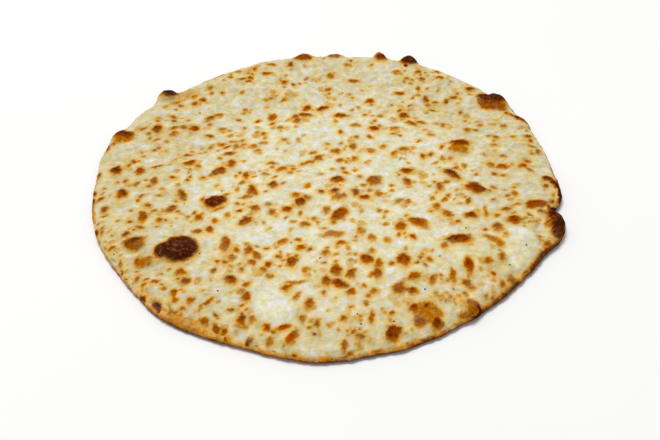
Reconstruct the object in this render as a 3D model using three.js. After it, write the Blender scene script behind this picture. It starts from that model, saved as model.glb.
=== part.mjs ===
// A white cheese pizza: a hand-stretched round of baked dough under one layer of melted cheese.
// Millimetres, +Z up. The origin is the middle of the underside, and -Y is the near side.
import * as THREE from "three";

// Dough
const DOUGH_RADIUS = 164; // mean reach of the baked round
const BED_HEIGHT = 4; // dough under the middle of the cheese
const RIM_RISE = 3; // how far the puffed border stands above the bed
const BACK_RISE = 0.4; // the border is this share higher at the back and lower at the front
const RIM_WIDTH = 42; // border, from the edge in to where the bed is flat
const CROWN_INSET = 15; // from the edge in to the highest line of the border
const NOSE_DEPTH = 6; // rounding of the edge, measured inwards
const NOSE_HEIGHT = 2.4; // height of the widest line of the edge
const UNDERCUT = 1.3; // how far the edge draws in halfway down to the base

// Cheese
const CHEESE_DEPTH = 3; // over the flat bed
const RIM_CHEESE = 1.5; // over the border
const EDGE_CHEESE = 0.8; // at its own edge
const LEAST_DEPTH = 0.7; // where a hollow thins it
const LIP_WIDTH = 6; // from the cheese's edge in to its full depth on the border
const CHEESE_INSET = 3.2; // mean width of dough left bare at the edge
const LEAST_INSET = 1.6;
const LAYER_GAP = 0.3; // clearance between dough and cheese

// Finish
const CRUST_COLOUR = 0xc79a5b;
const CRUST_ROUGHNESS = 0.85;
const CHEESE_COLOUR = 0xe2d9b4;
const CHEESE_ROUGHNESS = 0.45;

// Facets
const FACET = 6.4; // side of a facet on the cheese
const ROW_PITCH = Math.sqrt(0.75); // rows of even-sided triangles, as a share of their side
const LEAST_SIDES = 6; // facets round the middle of the cheese
const RIM_SIDES = 160; // facets round the border
const RIM_STEPS = [5, 13, 25, 40]; // rings on the border, from the cheese's edge inwards
const NOSE_SHARES = [0.55, 0.2, 0]; // rings on the bare edge, as shares of its width
const BED_RINGS = [
  { share: 0.35, sides: 20 },
  { share: 0.7, sides: 60 },
]; // the hidden face between dough and cheese, inside the border
const BASE_RINGS = [
  { share: 0.75, sides: 60 },
  { share: 0.35, sides: 20 },
]; // the flat underside

const UP = new THREE.Vector3(0, 0, 1);
const TURN = 2 * Math.PI;
const DEGREE = TURN / 360;

// Bulges and dents in the outline: direction and spread in degrees, reach in millimetres.
const BULGES = [
  { at: -22, spread: 6.5, out: 6 },
  { at: -15.5, spread: 2, out: -4.5 },
  { at: -8.5, spread: 5, out: 2.2 },
  { at: 7, spread: 5, out: 1 },
  { at: 20, spread: 4, out: 3.2 },
  { at: 31, spread: 6, out: 2 },
  { at: 54, spread: 11, out: 3.5 },
  { at: 89, spread: 12, out: 1 },
  { at: 119, spread: 11, out: 1.5 },
  { at: 145, spread: 7, out: 7 },
  { at: 163.5, spread: 8, out: 7.5 },
  { at: -177, spread: 8, out: 2.5 },
  { at: -146, spread: 8, out: -2.5 },
  { at: -113, spread: 7, out: -2 },
  { at: -91, spread: 5, out: 3 },
  { at: -76, spread: 4, out: 2 },
  { at: -57, spread: 4, out: -1.5 },
];

// Fine waver of the dough's edge and of the cheese's, in millimetres, and lumps along the border
// as shares of its rise.
const DOUGH_RIPPLES = [
  { times: 11, out: 0.3, phase: 1 },
  { times: 23, out: 0.2, phase: 4 },
  { times: 37, out: 0.15, phase: 0 },
];
const CHEESE_RIPPLES = [
  { times: 11, out: 0.9, phase: 4.2 },
  { times: 23, out: 0.6, phase: 5.9 },
  { times: 37, out: 0.4, phase: 4.9 },
];
const RIM_LUMPS = [
  { times: 3, out: 0.15, phase: 2 },
  { times: 7, out: 0.15, phase: 1 },
];

// Places where the cheese stops short and leaves more of the dough bare.
const BARE_PATCHES = [
  { at: -126, spread: 8, out: 5 },
  { at: -29, spread: 6, out: 3 },
  { at: 94, spread: 5, out: 3 },
  { at: 137, spread: 4, out: 3 },
];

// Bubbles that lift the cheese: place, length, width and turn of the footprint, and height.
const PUFFS = [
  { x: -100, y: -71, along: 29, across: 21, turn: 8, height: 7.5 },
  { x: -129, y: -65, along: 17, across: 14, turn: 20, height: 4.5 },
  { x: -119, y: -82, along: 17, across: 10, turn: 10, height: 3 },
  { x: 126, y: -70, along: 46, across: 36, turn: 70, height: 3.5 },
  { x: 98, y: -88, along: 40, across: 30, turn: 15, height: 3.5 },
  { x: 100, y: 24, along: 24, across: 19, turn: 0, height: 4 },
  { x: 90, y: -8, along: 15, across: 11, turn: -25, height: 2.5 },
  { x: 107, y: -24, along: 17, across: 11, turn: -10, height: 2.5 },
  { x: 58, y: -140, along: 22, across: 19, turn: -30, height: 2.5 },
  { x: 36, y: -150, along: 16, across: 12, turn: 70, height: 2 },
  { x: -31, y: -127, along: 40, across: 26, turn: 20, height: 1.6 },
  { x: 35, y: -12, along: 14, across: 12, turn: 0, height: 2 },
  { x: -78, y: -25, along: 18, across: 13, turn: 0, height: 2 },
];

// Bubbles in the dough that break out along the edge: direction, distance in from the edge,
// length along the edge, width across it, and height above the bed.
const EDGE_BUBBLES = [
  { at: -23, inset: 5, along: 30, across: 14, height: 6.5 },
  { at: -10, inset: 4, along: 26, across: 9, height: 5 },
  { at: 20, inset: 5, along: 16, across: 9, height: 5 },
  { at: 30, inset: 8, along: 24, across: 18, height: 10 },
  { at: 62.5, inset: 4, along: 16, across: 12, height: 11 },
  { at: 71.5, inset: 4, along: 12, across: 10, height: 10 },
  { at: 85, inset: 4, along: 17, across: 9, height: 6.5 },
  { at: 94.5, inset: 5, along: 20, across: 12, height: 8 },
  { at: 138.5, inset: 4, along: 20, across: 14, height: 11 },
  { at: 159.5, inset: 5, along: 19, across: 12, height: 8 },
  { at: -57.5, inset: 4, along: 14, across: 11, height: 5.5 },
];
const BUBBLE_BLEND = 4; // a higher power gives edge bubbles a sharper foot
const BUBBLE_CORE = 0.05; // share of a bubble's size within which points are taken as at its middle
const PUFF_FULLNESS = 0.8; // a lower power gives puffs steeper sides

// Slow swells of the surface: each is a wave of its own length, height, heading and phase.
const SWELLS = 9;
const SWELL_SEED = 41;
const SWELL_HEIGHT = 0.28;
const SWELL_SHORTEST = 24;
const SWELL_LONGEST = 75;

// A repeatable draw of numbers from 0 to 1.
function drawFrom(seed) {
  const multiplier = 16807;
  const modulus = 2147483647;
  let state = seed;
  return () => {
    state = (state * multiplier) % modulus;
    return state / modulus;
  };
}

function swellWaves(seed) {
  const draw = drawFrom(seed);
  return Array.from({ length: SWELLS }, () => {
    const heading = draw() * TURN;
    const length = SWELL_SHORTEST + (SWELL_LONGEST - SWELL_SHORTEST) * draw();
    return { heading, length, phase: draw() * TURN };
  });
}

const WAVES = swellWaves(SWELL_SEED);

function swell(x, y) {
  return WAVES.reduce((sum, { heading, length, phase }) => {
    const run = x * Math.cos(heading) + y * Math.sin(heading);
    return sum + SWELL_HEIGHT * Math.sin((run / length) * TURN + phase);
  }, 0);
}

function smoothStep(from, to, value) {
  const t = Math.min(1, Math.max(0, (value - from) / (to - from)));
  return t * t * (3 - 2 * t);
}

// Sum of bell-shaped bumps round the outline, in the direction given in radians.
function bumps(list, angle) {
  return list.reduce((sum, { at, spread, out }) => {
    const off = ((angle / DEGREE - at + 540) % 360) - 180;
    return sum + out * Math.exp(-0.5 * (off / spread) ** 2);
  }, 0);
}

// Sum of ripples that go round the outline a whole number of times.
function ripples(list, angle) {
  return list.reduce((sum, { times, out, phase }) => sum + out * Math.sin(times * angle + phase), 0);
}

function doughReach(angle) {
  return DOUGH_RADIUS + bumps(BULGES, angle) + ripples(DOUGH_RIPPLES, angle);
}

function cheeseReach(angle) {
  const inset = CHEESE_INSET + bumps(BARE_PATCHES, angle) + ripples(CHEESE_RIPPLES, angle);
  return doughReach(angle) - Math.max(LEAST_INSET, inset);
}

// Height of the border above the bed, uneven as hand-stretched dough is.
function rimRise(angle) {
  return RIM_RISE * (1 + BACK_RISE * Math.sin(angle) + ripples(RIM_LUMPS, angle));
}

// Top of the dough, in a direction and at a distance in from the edge.
function doughTop(angle, inset) {
  const crown = BED_HEIGHT + rimRise(angle);
  if (inset < NOSE_DEPTH) {
    const across = 1 - inset / NOSE_DEPTH;
    return NOSE_HEIGHT + (crown - NOSE_HEIGHT) * Math.sqrt(1 - across * across);
  }
  return crown - rimRise(angle) * smoothStep(CROWN_INSET, RIM_WIDTH, inset);
}

// How far the bubbles under the cheese lift it at a point.
function puffLift(x, y) {
  return PUFFS.reduce((lift, puff) => {
    const c = Math.cos(puff.turn * DEGREE);
    const s = Math.sin(puff.turn * DEGREE);
    const along = ((x - puff.x) * c + (y - puff.y) * s) / (puff.along / 2);
    const across = ((y - puff.y) * c - (x - puff.x) * s) / (puff.across / 2);
    const room = 1 - along * along - across * across;
    return room > 0 ? Math.max(lift, puff.height * room ** PUFF_FULLNESS) : lift;
  }, 0);
}

// Depth of the cheese, in a direction and at a distance from the middle.
function cheeseDepth(angle, radius) {
  const x = radius * Math.cos(angle);
  const y = radius * Math.sin(angle);
  const fromLip = cheeseReach(angle) - radius;
  const inset = doughReach(angle) - radius;
  const onRim = EDGE_CHEESE + (RIM_CHEESE - EDGE_CHEESE) * smoothStep(0, LIP_WIDTH, fromLip);
  const depth = onRim + (CHEESE_DEPTH - RIM_CHEESE) * smoothStep(CROWN_INSET, RIM_WIDTH, inset);
  const free = smoothStep(0, 2 * LIP_WIDTH, fromLip); // the edge itself lies down on the dough
  return Math.max(LEAST_DEPTH, depth + free * swell(x, y)) + free * puffLift(x, y);
}

// Pushes a point out of the bubbles along the edge, upwards and outwards only.
function inflate(point) {
  for (const bubble of EDGE_BUBBLES) {
    const angle = bubble.at * DEGREE;
    const distance = doughReach(angle) - bubble.inset;
    const centre = new THREE.Vector3(distance * Math.cos(angle), distance * Math.sin(angle), BED_HEIGHT);
    const local = point.clone().sub(centre).applyAxisAngle(UP, -angle);
    const half = new THREE.Vector3(bubble.across / 2, bubble.along / 2, bubble.height);
    const depth = Math.max(local.clone().divide(half).length(), BUBBLE_CORE);
    const pushed = (1 + depth ** BUBBLE_BLEND) ** (1 / BUBBLE_BLEND) / depth;
    const out = local.multiplyScalar(pushed).applyAxisAngle(UP, angle).add(centre);
    point.set(out.x, out.y, Math.max(point.z, out.z));
  }
  return point;
}

// A closed loop of points; place gives the point in each direction.
function ring(sides, place) {
  return Array.from({ length: sides }, (_, i) => place((i / sides) * TURN));
}

function pointAt(angle, radius, height) {
  return new THREE.Vector3(radius * Math.cos(angle), radius * Math.sin(angle), height);
}

// A point on top of the dough, at a distance in from its edge.
function doughPoint(angle, inset) {
  return inflate(pointAt(angle, doughReach(angle) - inset, doughTop(angle, inset)));
}

// A closed skin over rings that run from the middle of the top, over the edge, to the middle below.
// Neighbouring rings may differ in their number of points; the shorter diagonal joins them.
function skin(rings) {
  const points = rings.flat();
  const index = [];
  let inner = 0;
  rings.slice(1).forEach((outerRing, k) => {
    const innerSides = rings[k].length;
    const outerSides = outerRing.length;
    const outer = inner + innerSides;
    const innerSteps = innerSides > 1 ? innerSides : 0;
    const outerSteps = outerSides > 1 ? outerSides : 0;
    let i = 0;
    let j = 0;
    while (i < innerSteps || j < outerSteps) {
      const a = inner + (i % innerSides);
      const b = outer + (j % outerSides);
      const nextA = inner + ((i + 1) % innerSides);
      const nextB = outer + ((j + 1) % outerSides);
      const outerShorter = points[a].distanceTo(points[nextB]) <= points[nextA].distanceTo(points[b]);
      if (i === innerSteps || (j < outerSteps && outerShorter)) {
        index.push(a, b, nextB);
        j += 1;
      } else {
        index.push(a, b, nextA);
        i += 1;
      }
    }
    inner = outer;
  });
  const geometry = new THREE.BufferGeometry().setFromPoints(points);
  geometry.setIndex(index);
  geometry.computeVertexNormals();
  return geometry;
}

// A ring over the top of the dough; lift gives the height above it.
function ringOver(sides, radiusAt, lift) {
  return ring(sides, (angle) => {
    const radius = radiusAt(angle);
    const point = doughPoint(angle, doughReach(angle) - radius);
    point.z += lift(angle, radius);
    return point;
  });
}

// Rings over the border, from its inner side out to the cheese's edge.
function borderRings(lift) {
  const steps = [...RIM_STEPS, 0].sort((a, b) => b - a);
  return steps.map((step) => ringOver(RIM_SIDES, (angle) => cheeseReach(angle) - step, lift));
}

// Reach of the cheese inside the border.
function poolReach(angle) {
  return cheeseReach(angle) - Math.max(...RIM_STEPS);
}

// Rings of the face where cheese meets dough, from the middle out to the cheese's edge.
function contactRings(gap) {
  const lift = () => gap;
  const middle = ringOver(1, () => 0, lift);
  const bed = BED_RINGS.map(({ share, sides }) => ringOver(sides, (angle) => share * poolReach(angle), lift));
  return [middle, ...bed, ...borderRings(lift)];
}

// Rings of the cheese's upper face, from the middle out to its edge.
function cheeseTopRings() {
  const lift = (angle, radius) => LAYER_GAP + cheeseDepth(angle, radius);
  const steps = Math.round(poolReach(0) / (FACET * ROW_PITCH));
  const middle = ringOver(1, () => 0, lift);
  const pool = Array.from({ length: steps - 1 }, (_, k) => {
    const share = (k + 1) / steps;
    const sides = Math.max(LEAST_SIDES, Math.round((share * poolReach(0) * TURN) / FACET));
    return ringOver(sides, (angle) => share * poolReach(angle), lift);
  });
  return [middle, ...pool, ...borderRings(lift)];
}

function crustGeometry() {
  const bareEdge = NOSE_SHARES.map((share) =>
    ring(RIM_SIDES, (angle) => doughPoint(angle, share * (doughReach(angle) - cheeseReach(angle)))),
  );
  const turnedUnder = ring(RIM_SIDES, (angle) =>
    inflate(pointAt(angle, doughReach(angle) - UNDERCUT, NOSE_HEIGHT / 2)),
  );
  const foot = ring(RIM_SIDES, (angle) => pointAt(angle, doughReach(angle) - NOSE_DEPTH, 0));
  const base = BASE_RINGS.map(({ share, sides }) =>
    ring(sides, (angle) => pointAt(angle, share * doughReach(angle), 0)),
  );
  const middle = ring(1, () => pointAt(0, 0, 0));
  return skin([...contactRings(0), ...bareEdge, turnedUnder, foot, ...base, middle]);
}

function cheeseGeometry() {
  return skin([...cheeseTopRings(), ...contactRings(LAYER_GAP).reverse()]);
}

function piece(name, geometry, colour, roughness) {
  const material = new THREE.MeshStandardMaterial({ color: colour, roughness, metalness: 0 });
  const mesh = new THREE.Mesh(geometry, material);
  mesh.name = name;
  return mesh;
}

const pizza = new THREE.Group();
pizza.add(piece("crust", crustGeometry(), CRUST_COLOUR, CRUST_ROUGHNESS));
pizza.add(piece("cheese", cheeseGeometry(), CHEESE_COLOUR, CHEESE_ROUGHNESS));

export default pizza;
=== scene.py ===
"""A whole white cheese pizza: baked dough under melted, browned cheese, on a plain studio floor."""

import math
from collections import namedtuple

import bmesh
import bpy
import numpy as np
from bpy.props import FloatProperty, FloatVectorProperty, IntProperty, PointerProperty
from mathutils import Matrix, Vector, noise


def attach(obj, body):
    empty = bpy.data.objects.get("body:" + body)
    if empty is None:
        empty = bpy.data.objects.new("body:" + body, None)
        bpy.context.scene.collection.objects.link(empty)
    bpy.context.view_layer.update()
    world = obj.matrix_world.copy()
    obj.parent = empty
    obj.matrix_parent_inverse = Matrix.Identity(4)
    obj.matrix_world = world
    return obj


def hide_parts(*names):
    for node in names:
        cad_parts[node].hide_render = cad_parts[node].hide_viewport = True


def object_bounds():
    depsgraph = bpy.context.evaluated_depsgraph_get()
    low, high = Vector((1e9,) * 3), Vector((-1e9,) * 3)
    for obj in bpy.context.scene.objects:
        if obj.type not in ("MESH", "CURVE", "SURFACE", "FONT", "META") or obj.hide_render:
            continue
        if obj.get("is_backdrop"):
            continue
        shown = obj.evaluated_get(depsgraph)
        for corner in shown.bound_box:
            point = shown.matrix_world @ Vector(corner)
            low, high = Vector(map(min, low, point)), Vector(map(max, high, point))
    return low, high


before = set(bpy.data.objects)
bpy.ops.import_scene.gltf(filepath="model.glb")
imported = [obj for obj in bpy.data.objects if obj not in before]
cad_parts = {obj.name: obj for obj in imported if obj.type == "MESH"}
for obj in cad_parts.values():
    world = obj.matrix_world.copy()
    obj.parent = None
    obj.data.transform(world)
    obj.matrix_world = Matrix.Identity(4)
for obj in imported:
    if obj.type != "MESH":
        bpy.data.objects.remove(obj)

bl_info = {
    "name": "Cheese Pizza",
    "version": (1, 0, 0),
    "blender": (4, 5, 0),
    "location": "View3D > Sidebar > Pizza",
    "description": "Builds a white cheese pizza with browned spots, and a studio for it",
    "category": "Add Mesh",
}

MM = 0.001
CAD_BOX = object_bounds()
BODY = "root"
CRUST_PIECE = "crust_baked"
CHEESE_PIECE = "cheese_melted"

# The view, in millimetres and degrees. The photo's columns and rows are read in this view.
EYE = Vector((1.66, -513.19, 423.60))
AIM = Vector((2.72, -38.49, 0))
ROLL = 2.68
LENS = 50
SENSOR = 36
PHOTO_WIDTH = 660
PHOTO_HEIGHT = 440
FOCAL_PIXELS = LENS / SENSOR * PHOTO_WIDTH

# Shape of the dough and the cheese, in millimetres and degrees, as in the solids.
Hill = namedtuple("Hill", "at spread out")
Ripple = namedtuple("Ripple", "times out phase")
Puff = namedtuple("Puff", "x y along across turn height")
EdgeBubble = namedtuple("EdgeBubble", "at inset along across height scorch")

BACK_RISE = 0.4
NOSE_DEPTH = 6
NOSE_HEIGHT = 2.4
RIM_CHEESE = 1.5
EDGE_CHEESE = 0.8
LEAST_DEPTH = 0.7
LIP_WIDTH = 6
CHEESE_INSET = 3.2
LEAST_INSET = 1.6
LAYER_GAP = 0.3
BUBBLE_BLEND = 4
BUBBLE_CORE = 0.05
PUFF_FULLNESS = 0.8

# Bulges and dents in the outline.
BULGES = [
    Hill(at=-22, spread=6.5, out=6),
    Hill(at=-15.5, spread=2, out=-4.5),
    Hill(at=-8.5, spread=5, out=2.2),
    Hill(at=7, spread=5, out=1),
    Hill(at=20, spread=4, out=3.2),
    Hill(at=31, spread=6, out=2),
    Hill(at=54, spread=11, out=3.5),
    Hill(at=89, spread=12, out=1),
    Hill(at=119, spread=11, out=1.5),
    Hill(at=145, spread=7, out=7),
    Hill(at=163.5, spread=8, out=7.5),
    Hill(at=-177, spread=8, out=2.5),
    Hill(at=-146, spread=8, out=-2.5),
    Hill(at=-113, spread=7, out=-2),
    Hill(at=-91, spread=5, out=3),
    Hill(at=-76, spread=4, out=2),
    Hill(at=-57, spread=4, out=-1.5),
]
# Places where the cheese stops short and leaves more of the dough bare.
BARE_PATCHES = [
    Hill(at=-126, spread=8, out=5),
    Hill(at=-29, spread=6, out=3),
    Hill(at=94, spread=5, out=3),
    Hill(at=137, spread=4, out=3),
]
DOUGH_RIPPLES = [Ripple(11, 0.3, 1), Ripple(23, 0.2, 4), Ripple(37, 0.15, 0)]
CHEESE_RIPPLES = [Ripple(11, 0.9, 4.2), Ripple(23, 0.6, 5.9), Ripple(37, 0.4, 4.9)]
RIM_LUMPS = [Ripple(3, 0.15, 2), Ripple(7, 0.15, 1)]
# Bubbles that lift the cheese.
PUFFS = [
    Puff(x=-100, y=-71, along=29, across=21, turn=8, height=7.5),
    Puff(x=-129, y=-65, along=17, across=14, turn=20, height=4.5),
    Puff(x=-119, y=-82, along=17, across=10, turn=10, height=3),
    Puff(x=126, y=-70, along=46, across=36, turn=70, height=3.5),
    Puff(x=98, y=-88, along=40, across=30, turn=15, height=3.5),
    Puff(x=100, y=24, along=24, across=19, turn=0, height=4),
    Puff(x=90, y=-8, along=15, across=11, turn=-25, height=2.5),
    Puff(x=107, y=-24, along=17, across=11, turn=-10, height=2.5),
    Puff(x=58, y=-140, along=22, across=19, turn=-30, height=2.5),
    Puff(x=36, y=-150, along=16, across=12, turn=70, height=2),
    Puff(x=-31, y=-127, along=40, across=26, turn=20, height=1.6),
    Puff(x=35, y=-12, along=14, across=12, turn=0, height=2),
    Puff(x=-78, y=-25, along=18, across=13, turn=0, height=2),
]
# Bubbles in the dough that break out along the edge.
EDGE_BUBBLES = [
    EdgeBubble(at=-23, inset=5, along=30, across=14, height=6.5, scorch=0.9),
    EdgeBubble(at=-10, inset=4, along=26, across=9, height=5, scorch=0.85),
    EdgeBubble(at=20, inset=5, along=16, across=9, height=5, scorch=0.85),
    EdgeBubble(at=30, inset=8, along=24, across=18, height=10, scorch=1),
    EdgeBubble(at=62.5, inset=4, along=16, across=12, height=11, scorch=1),
    EdgeBubble(at=71.5, inset=4, along=12, across=10, height=10, scorch=0.9),
    EdgeBubble(at=85, inset=4, along=17, across=9, height=6.5, scorch=0.6),
    EdgeBubble(at=94.5, inset=5, along=20, across=12, height=8, scorch=0.85),
    EdgeBubble(at=138.5, inset=4, along=20, across=14, height=11, scorch=0.96),
    EdgeBubble(at=159.5, inset=5, along=19, across=12, height=8, scorch=0.85),
    EdgeBubble(at=-57.5, inset=4, along=14, across=11, height=5.5, scorch=0.8),
]
SWELLS = 9
SWELL_SEED = 41
SWELL_HEIGHT = 0.28
SWELL_SHORTEST = 24
SWELL_LONGEST = 75

# Browned spots that stand out: column and row in the photo, length and width in its pixels, how dark
# they are from 0 to 1, and their lean in degrees.
Spot = namedtuple("Spot", "column row length width tone lean", defaults=[0])

BACK_SPOTS = [
    Spot(169, 92, 17, 8, 0.95), Spot(194, 97, 6, 5, 0.6), Spot(195, 104, 5, 4, 0.75),
    Spot(203, 100.5, 7, 4, 0.75), Spot(174, 117, 7, 3.5, 0.85, -30), Spot(157.5, 129, 9, 8, 0.85, 35),
    Spot(143, 128.5, 5, 4, 0.8), Spot(175, 128.5, 9, 4, 0.7, 10), Spot(194.5, 128.5, 9, 7, 0.85),
    Spot(184, 128, 7, 6, 0.5), Spot(210.3, 88, 5, 4, 0.75, 20), Spot(220.5, 75, 7, 3, 0.6, 20),
    Spot(213, 78, 8, 3, 0.6, 20), Spot(230.5, 77, 7, 3, 0.6), Spot(241.5, 79, 9, 2.5, 0.75),
    Spot(250, 78, 6, 5, 0.65), Spot(238, 71, 8, 3, 0.5), Spot(254.5, 69, 4, 3.5, 0.8),
    Spot(266.5, 74, 11, 4, 0.7), Spot(271.5, 65, 10, 4, 0.55, -10), Spot(290.5, 64.5, 7, 5, 0.85),
    Spot(303, 57.5, 20, 7, 0.75), Spot(284.5, 82, 6, 4.5, 0.7), Spot(271, 98, 5, 3, 0.6, 15),
    Spot(284, 100.5, 7, 3, 0.6), Spot(307, 108, 8, 6, 0.75), Spot(323, 108.5, 12, 5.5, 0.92, 20),
    Spot(305, 115, 13, 4.5, 0.85, -5), Spot(296, 117, 7, 6, 0.75), Spot(297, 121, 9, 5, 0.7),
    Spot(272.5, 118, 8, 8, 0.7, 40), Spot(210, 118, 8, 6, 0.9), Spot(210, 125, 3.5, 6, 0.7),
    Spot(219, 115.5, 10, 4, 0.55, 10), Spot(223, 129.5, 6, 3, 0.65), Spot(280, 128, 8, 4, 0.6),
    Spot(334, 55.5, 16, 5, 0.7), Spot(348, 65, 8, 5, 0.5), Spot(330, 76, 8, 6, 0.55),
    Spot(353, 81, 10, 4, 0.75), Spot(381, 57.5, 11, 9, 0.92), Spot(410.5, 58.5, 17, 9, 1),
    Spot(397, 73, 9, 7, 0.45), Spot(406.5, 78.5, 6, 4, 0.6), Spot(418, 72.5, 6, 5, 0.75),
    Spot(422, 79.5, 7, 6, 0.6), Spot(440, 78, 8, 4, 0.75), Spot(437, 71.5, 6, 4, 0.6),
    Spot(399.5, 93.5, 10, 4, 0.8), Spot(369.5, 101.5, 8, 5, 0.75), Spot(328, 90, 7, 5, 0.6),
    Spot(410, 106.5, 5, 3.5, 0.6, 25), Spot(425.5, 100.5, 6, 6, 0.75), Spot(428, 105, 6, 3, 0.65),
    Spot(435, 102, 6, 3, 0.65), Spot(340.5, 115.5, 13, 5, 0.85), Spot(403.5, 115.5, 9, 6, 0.85),
    Spot(412, 123.5, 10, 4, 0.7, -15), Spot(421, 122.5, 9, 4, 0.7, -10), Spot(355.5, 125.5, 9, 4, 0.6),
    Spot(374, 128.5, 11, 6, 0.85), Spot(394, 128.5, 9, 5, 0.5), Spot(443, 125.5, 5, 5, 0.6),
    Spot(456, 75.5, 12, 5, 0.85, -20), Spot(469, 89.5, 8, 5, 0.85), Spot(493, 96.5, 27, 9, 1, -8),
    Spot(480, 126, 6, 4, 0.6), Spot(503, 126, 6, 4, 0.75), Spot(467.5, 130.5, 7, 4, 0.7),
    Spot(509.5, 105.5, 4, 6, 0.7), Spot(520, 119, 20, 4, 0.9, -35), Spot(492, 103.5, 26, 14, 0.76, -8),
    Spot(188, 95, 26, 13, 0.2, 10), Spot(189, 86, 24, 3, 0.55, 24), Spot(175.6, 102.5, 8, 4, 0.45),
    Spot(165, 107, 6, 5, 0.3),
]
MIDDLE_SPOTS = [
    Spot(123.5, 134.5, 21, 7, 0.88), Spot(107.5, 148.7, 5, 7, 0.75), Spot(156, 140, 6, 3, 0.75, 20),
    Spot(174, 135, 10, 6, 0.45), Spot(187, 155, 11, 3, 0.7), Spot(190, 163, 12, 5, 0.75, 15),
    Spot(198, 166, 6, 3, 0.7, -35), Spot(133.5, 162, 6, 4, 0.7, -20), Spot(129, 166, 5, 5, 0.6),
    Spot(116, 170.5, 11, 8, 0.9), Spot(140, 170.5, 9, 8, 0.8), Spot(158, 166.5, 9, 2.5, 0.8, 10),
    Spot(98.5, 176.5, 5, 7, 0.7), Spot(126, 181.5, 5, 5, 0.65), Spot(136.5, 184.5, 7, 6, 0.6),
    Spot(154.5, 181.5, 7, 9, 0.7), Spot(122.7, 194, 10, 8, 0.85), Spot(142, 196, 6, 4, 0.65, 20),
    Spot(148, 205, 7, 5, 0.65, -20), Spot(181.5, 194.5, 12, 8, 0.8, -50), Spot(94, 194.5, 5, 5, 0.9),
    Spot(93, 202, 6, 5, 0.85), Spot(104.5, 209.5, 8, 6, 0.75, 20), Spot(172, 208.5, 10, 7, 0.7, 10),
    Spot(203, 178, 7, 4, 0.55), Spot(210, 136.5, 8, 3, 0.8, -20), Spot(221.7, 144.5, 7, 4, 0.7),
    Spot(210, 148, 5, 3, 0.6), Spot(231.5, 142, 5, 3, 0.6), Spot(242, 141, 5, 3.5, 0.7),
    Spot(236, 146.5, 6, 6, 0.65), Spot(229, 153.5, 12, 4, 0.8, 10), Spot(232, 164.5, 8, 9, 0.75),
    Spot(218.5, 171.5, 15, 8, 0.78, 25), Spot(253, 146.5, 8, 6, 0.5), Spot(258, 151, 5, 5, 0.6),
    Spot(263.5, 134, 7, 4, 0.6), Spot(263.5, 143, 9, 4, 0.5), Spot(273, 163, 8, 4, 0.7, -5),
    Spot(281.5, 169, 12, 5, 0.6, 10), Spot(246, 175.5, 6, 7, 0.75), Spot(265, 174, 6, 4, 0.6),
    Spot(273, 184.7, 10, 6, 0.8), Spot(252, 190, 10, 11, 0.75), Spot(246, 197, 12, 4, 0.6, 10),
    Spot(214.5, 201, 21, 11, 0.95, 10), Spot(318, 158, 9, 6, 0.75, 20), Spot(310.5, 162, 10, 4, 0.65, 10),
    Spot(296, 195, 10, 6, 0.6), Spot(300, 202, 11, 9, 0.85, 20), Spot(307, 197.5, 9, 6, 0.6),
    Spot(268.5, 205, 8, 4, 0.55), Spot(255, 208, 9, 7, 0.75), Spot(287, 209.5, 10, 6, 0.8),
    Spot(336, 151, 10, 6, 0.65), Spot(340.5, 160.5, 8, 5, 0.65), Spot(353, 146.5, 7, 7, 0.7, 30),
    Spot(354, 158.7, 6, 5, 0.6), Spot(337, 179.5, 12, 7, 0.85, 10), Spot(359.5, 177, 6, 4, 0.55),
    Spot(374, 180.5, 15, 10, 0.7), Spot(334.5, 191, 10, 5, 0.8), Spot(338, 197, 12, 6, 0.55, 10),
    Spot(344, 195.5, 6, 5, 0.6), Spot(355.5, 192, 9, 6, 0.85, -15), Spot(364.5, 197.5, 11, 5, 0.85),
    Spot(379, 194, 8, 6, 0.5), Spot(370.5, 151, 10, 6, 0.5), Spot(383, 147, 7, 5, 0.5, 10),
    Spot(393.3, 134, 6, 3, 0.7), Spot(404, 149, 10, 5, 0.65, 10), Spot(394, 153.5, 12, 4, 0.5, 35),
    Spot(406.7, 170.5, 13, 6, 0.85, 5), Spot(407, 181.5, 8, 7, 0.8, -20), Spot(422.7, 156.7, 6, 7, 0.65),
    Spot(431, 135, 7, 3.5, 0.65), Spot(399, 201, 9, 4, 0.65, 20), Spot(440, 186.7, 8, 9, 0.7, 20),
    Spot(436.5, 206.5, 8, 7, 0.65), Spot(460, 142.5, 20, 8, 0.88), Spot(458.5, 148.5, 21, 10, 0.5),
    Spot(495.5, 136.7, 6, 4, 0.7, -20), Spot(494.5, 145, 7, 4, 0.55), Spot(450, 159, 6, 4, 0.65),
    Spot(491, 164.5, 7, 5, 0.6), Spot(502, 166.5, 12, 5, 0.65), Spot(503, 156, 6, 4, 0.55),
    Spot(503, 174.5, 7, 3, 0.6), Spot(526.7, 161.7, 6, 4, 0.7), Spot(522.8, 165.8, 9, 4, 0.75),
    Spot(529, 169.5, 8, 3, 0.7, -40), Spot(451.7, 173.3, 17, 8, 0.9, -28),
    Spot(476.5, 187.8, 21, 8, 0.88, -8), Spot(515, 194.5, 6, 5, 0.6), Spot(531.7, 146.7, 8, 4, 0.55, -20),
    Spot(538.3, 151.7, 5, 6, 0.7), Spot(530, 140.5, 5, 4, 0.65, -30), Spot(547, 178.5, 9, 4, 0.95, -15),
    Spot(555, 184, 11, 4.5, 0.95, -45), Spot(560, 195.5, 4, 18, 0.95), Spot(545.5, 186, 6, 4, 0.75),
    Spot(537, 204, 24, 8, 0.8, 5), Spot(506.5, 208.5, 10, 4, 0.8, 15), Spot(553.7, 195.6, 3.5, 4.5, 0.7),
    Spot(551.9, 201.9, 6, 4, 0.75), Spot(124, 139.5, 20, 8, 0.5), Spot(113, 144.4, 4, 4, 0.65),
    Spot(101, 156, 4, 5, 0.75),
]
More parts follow.
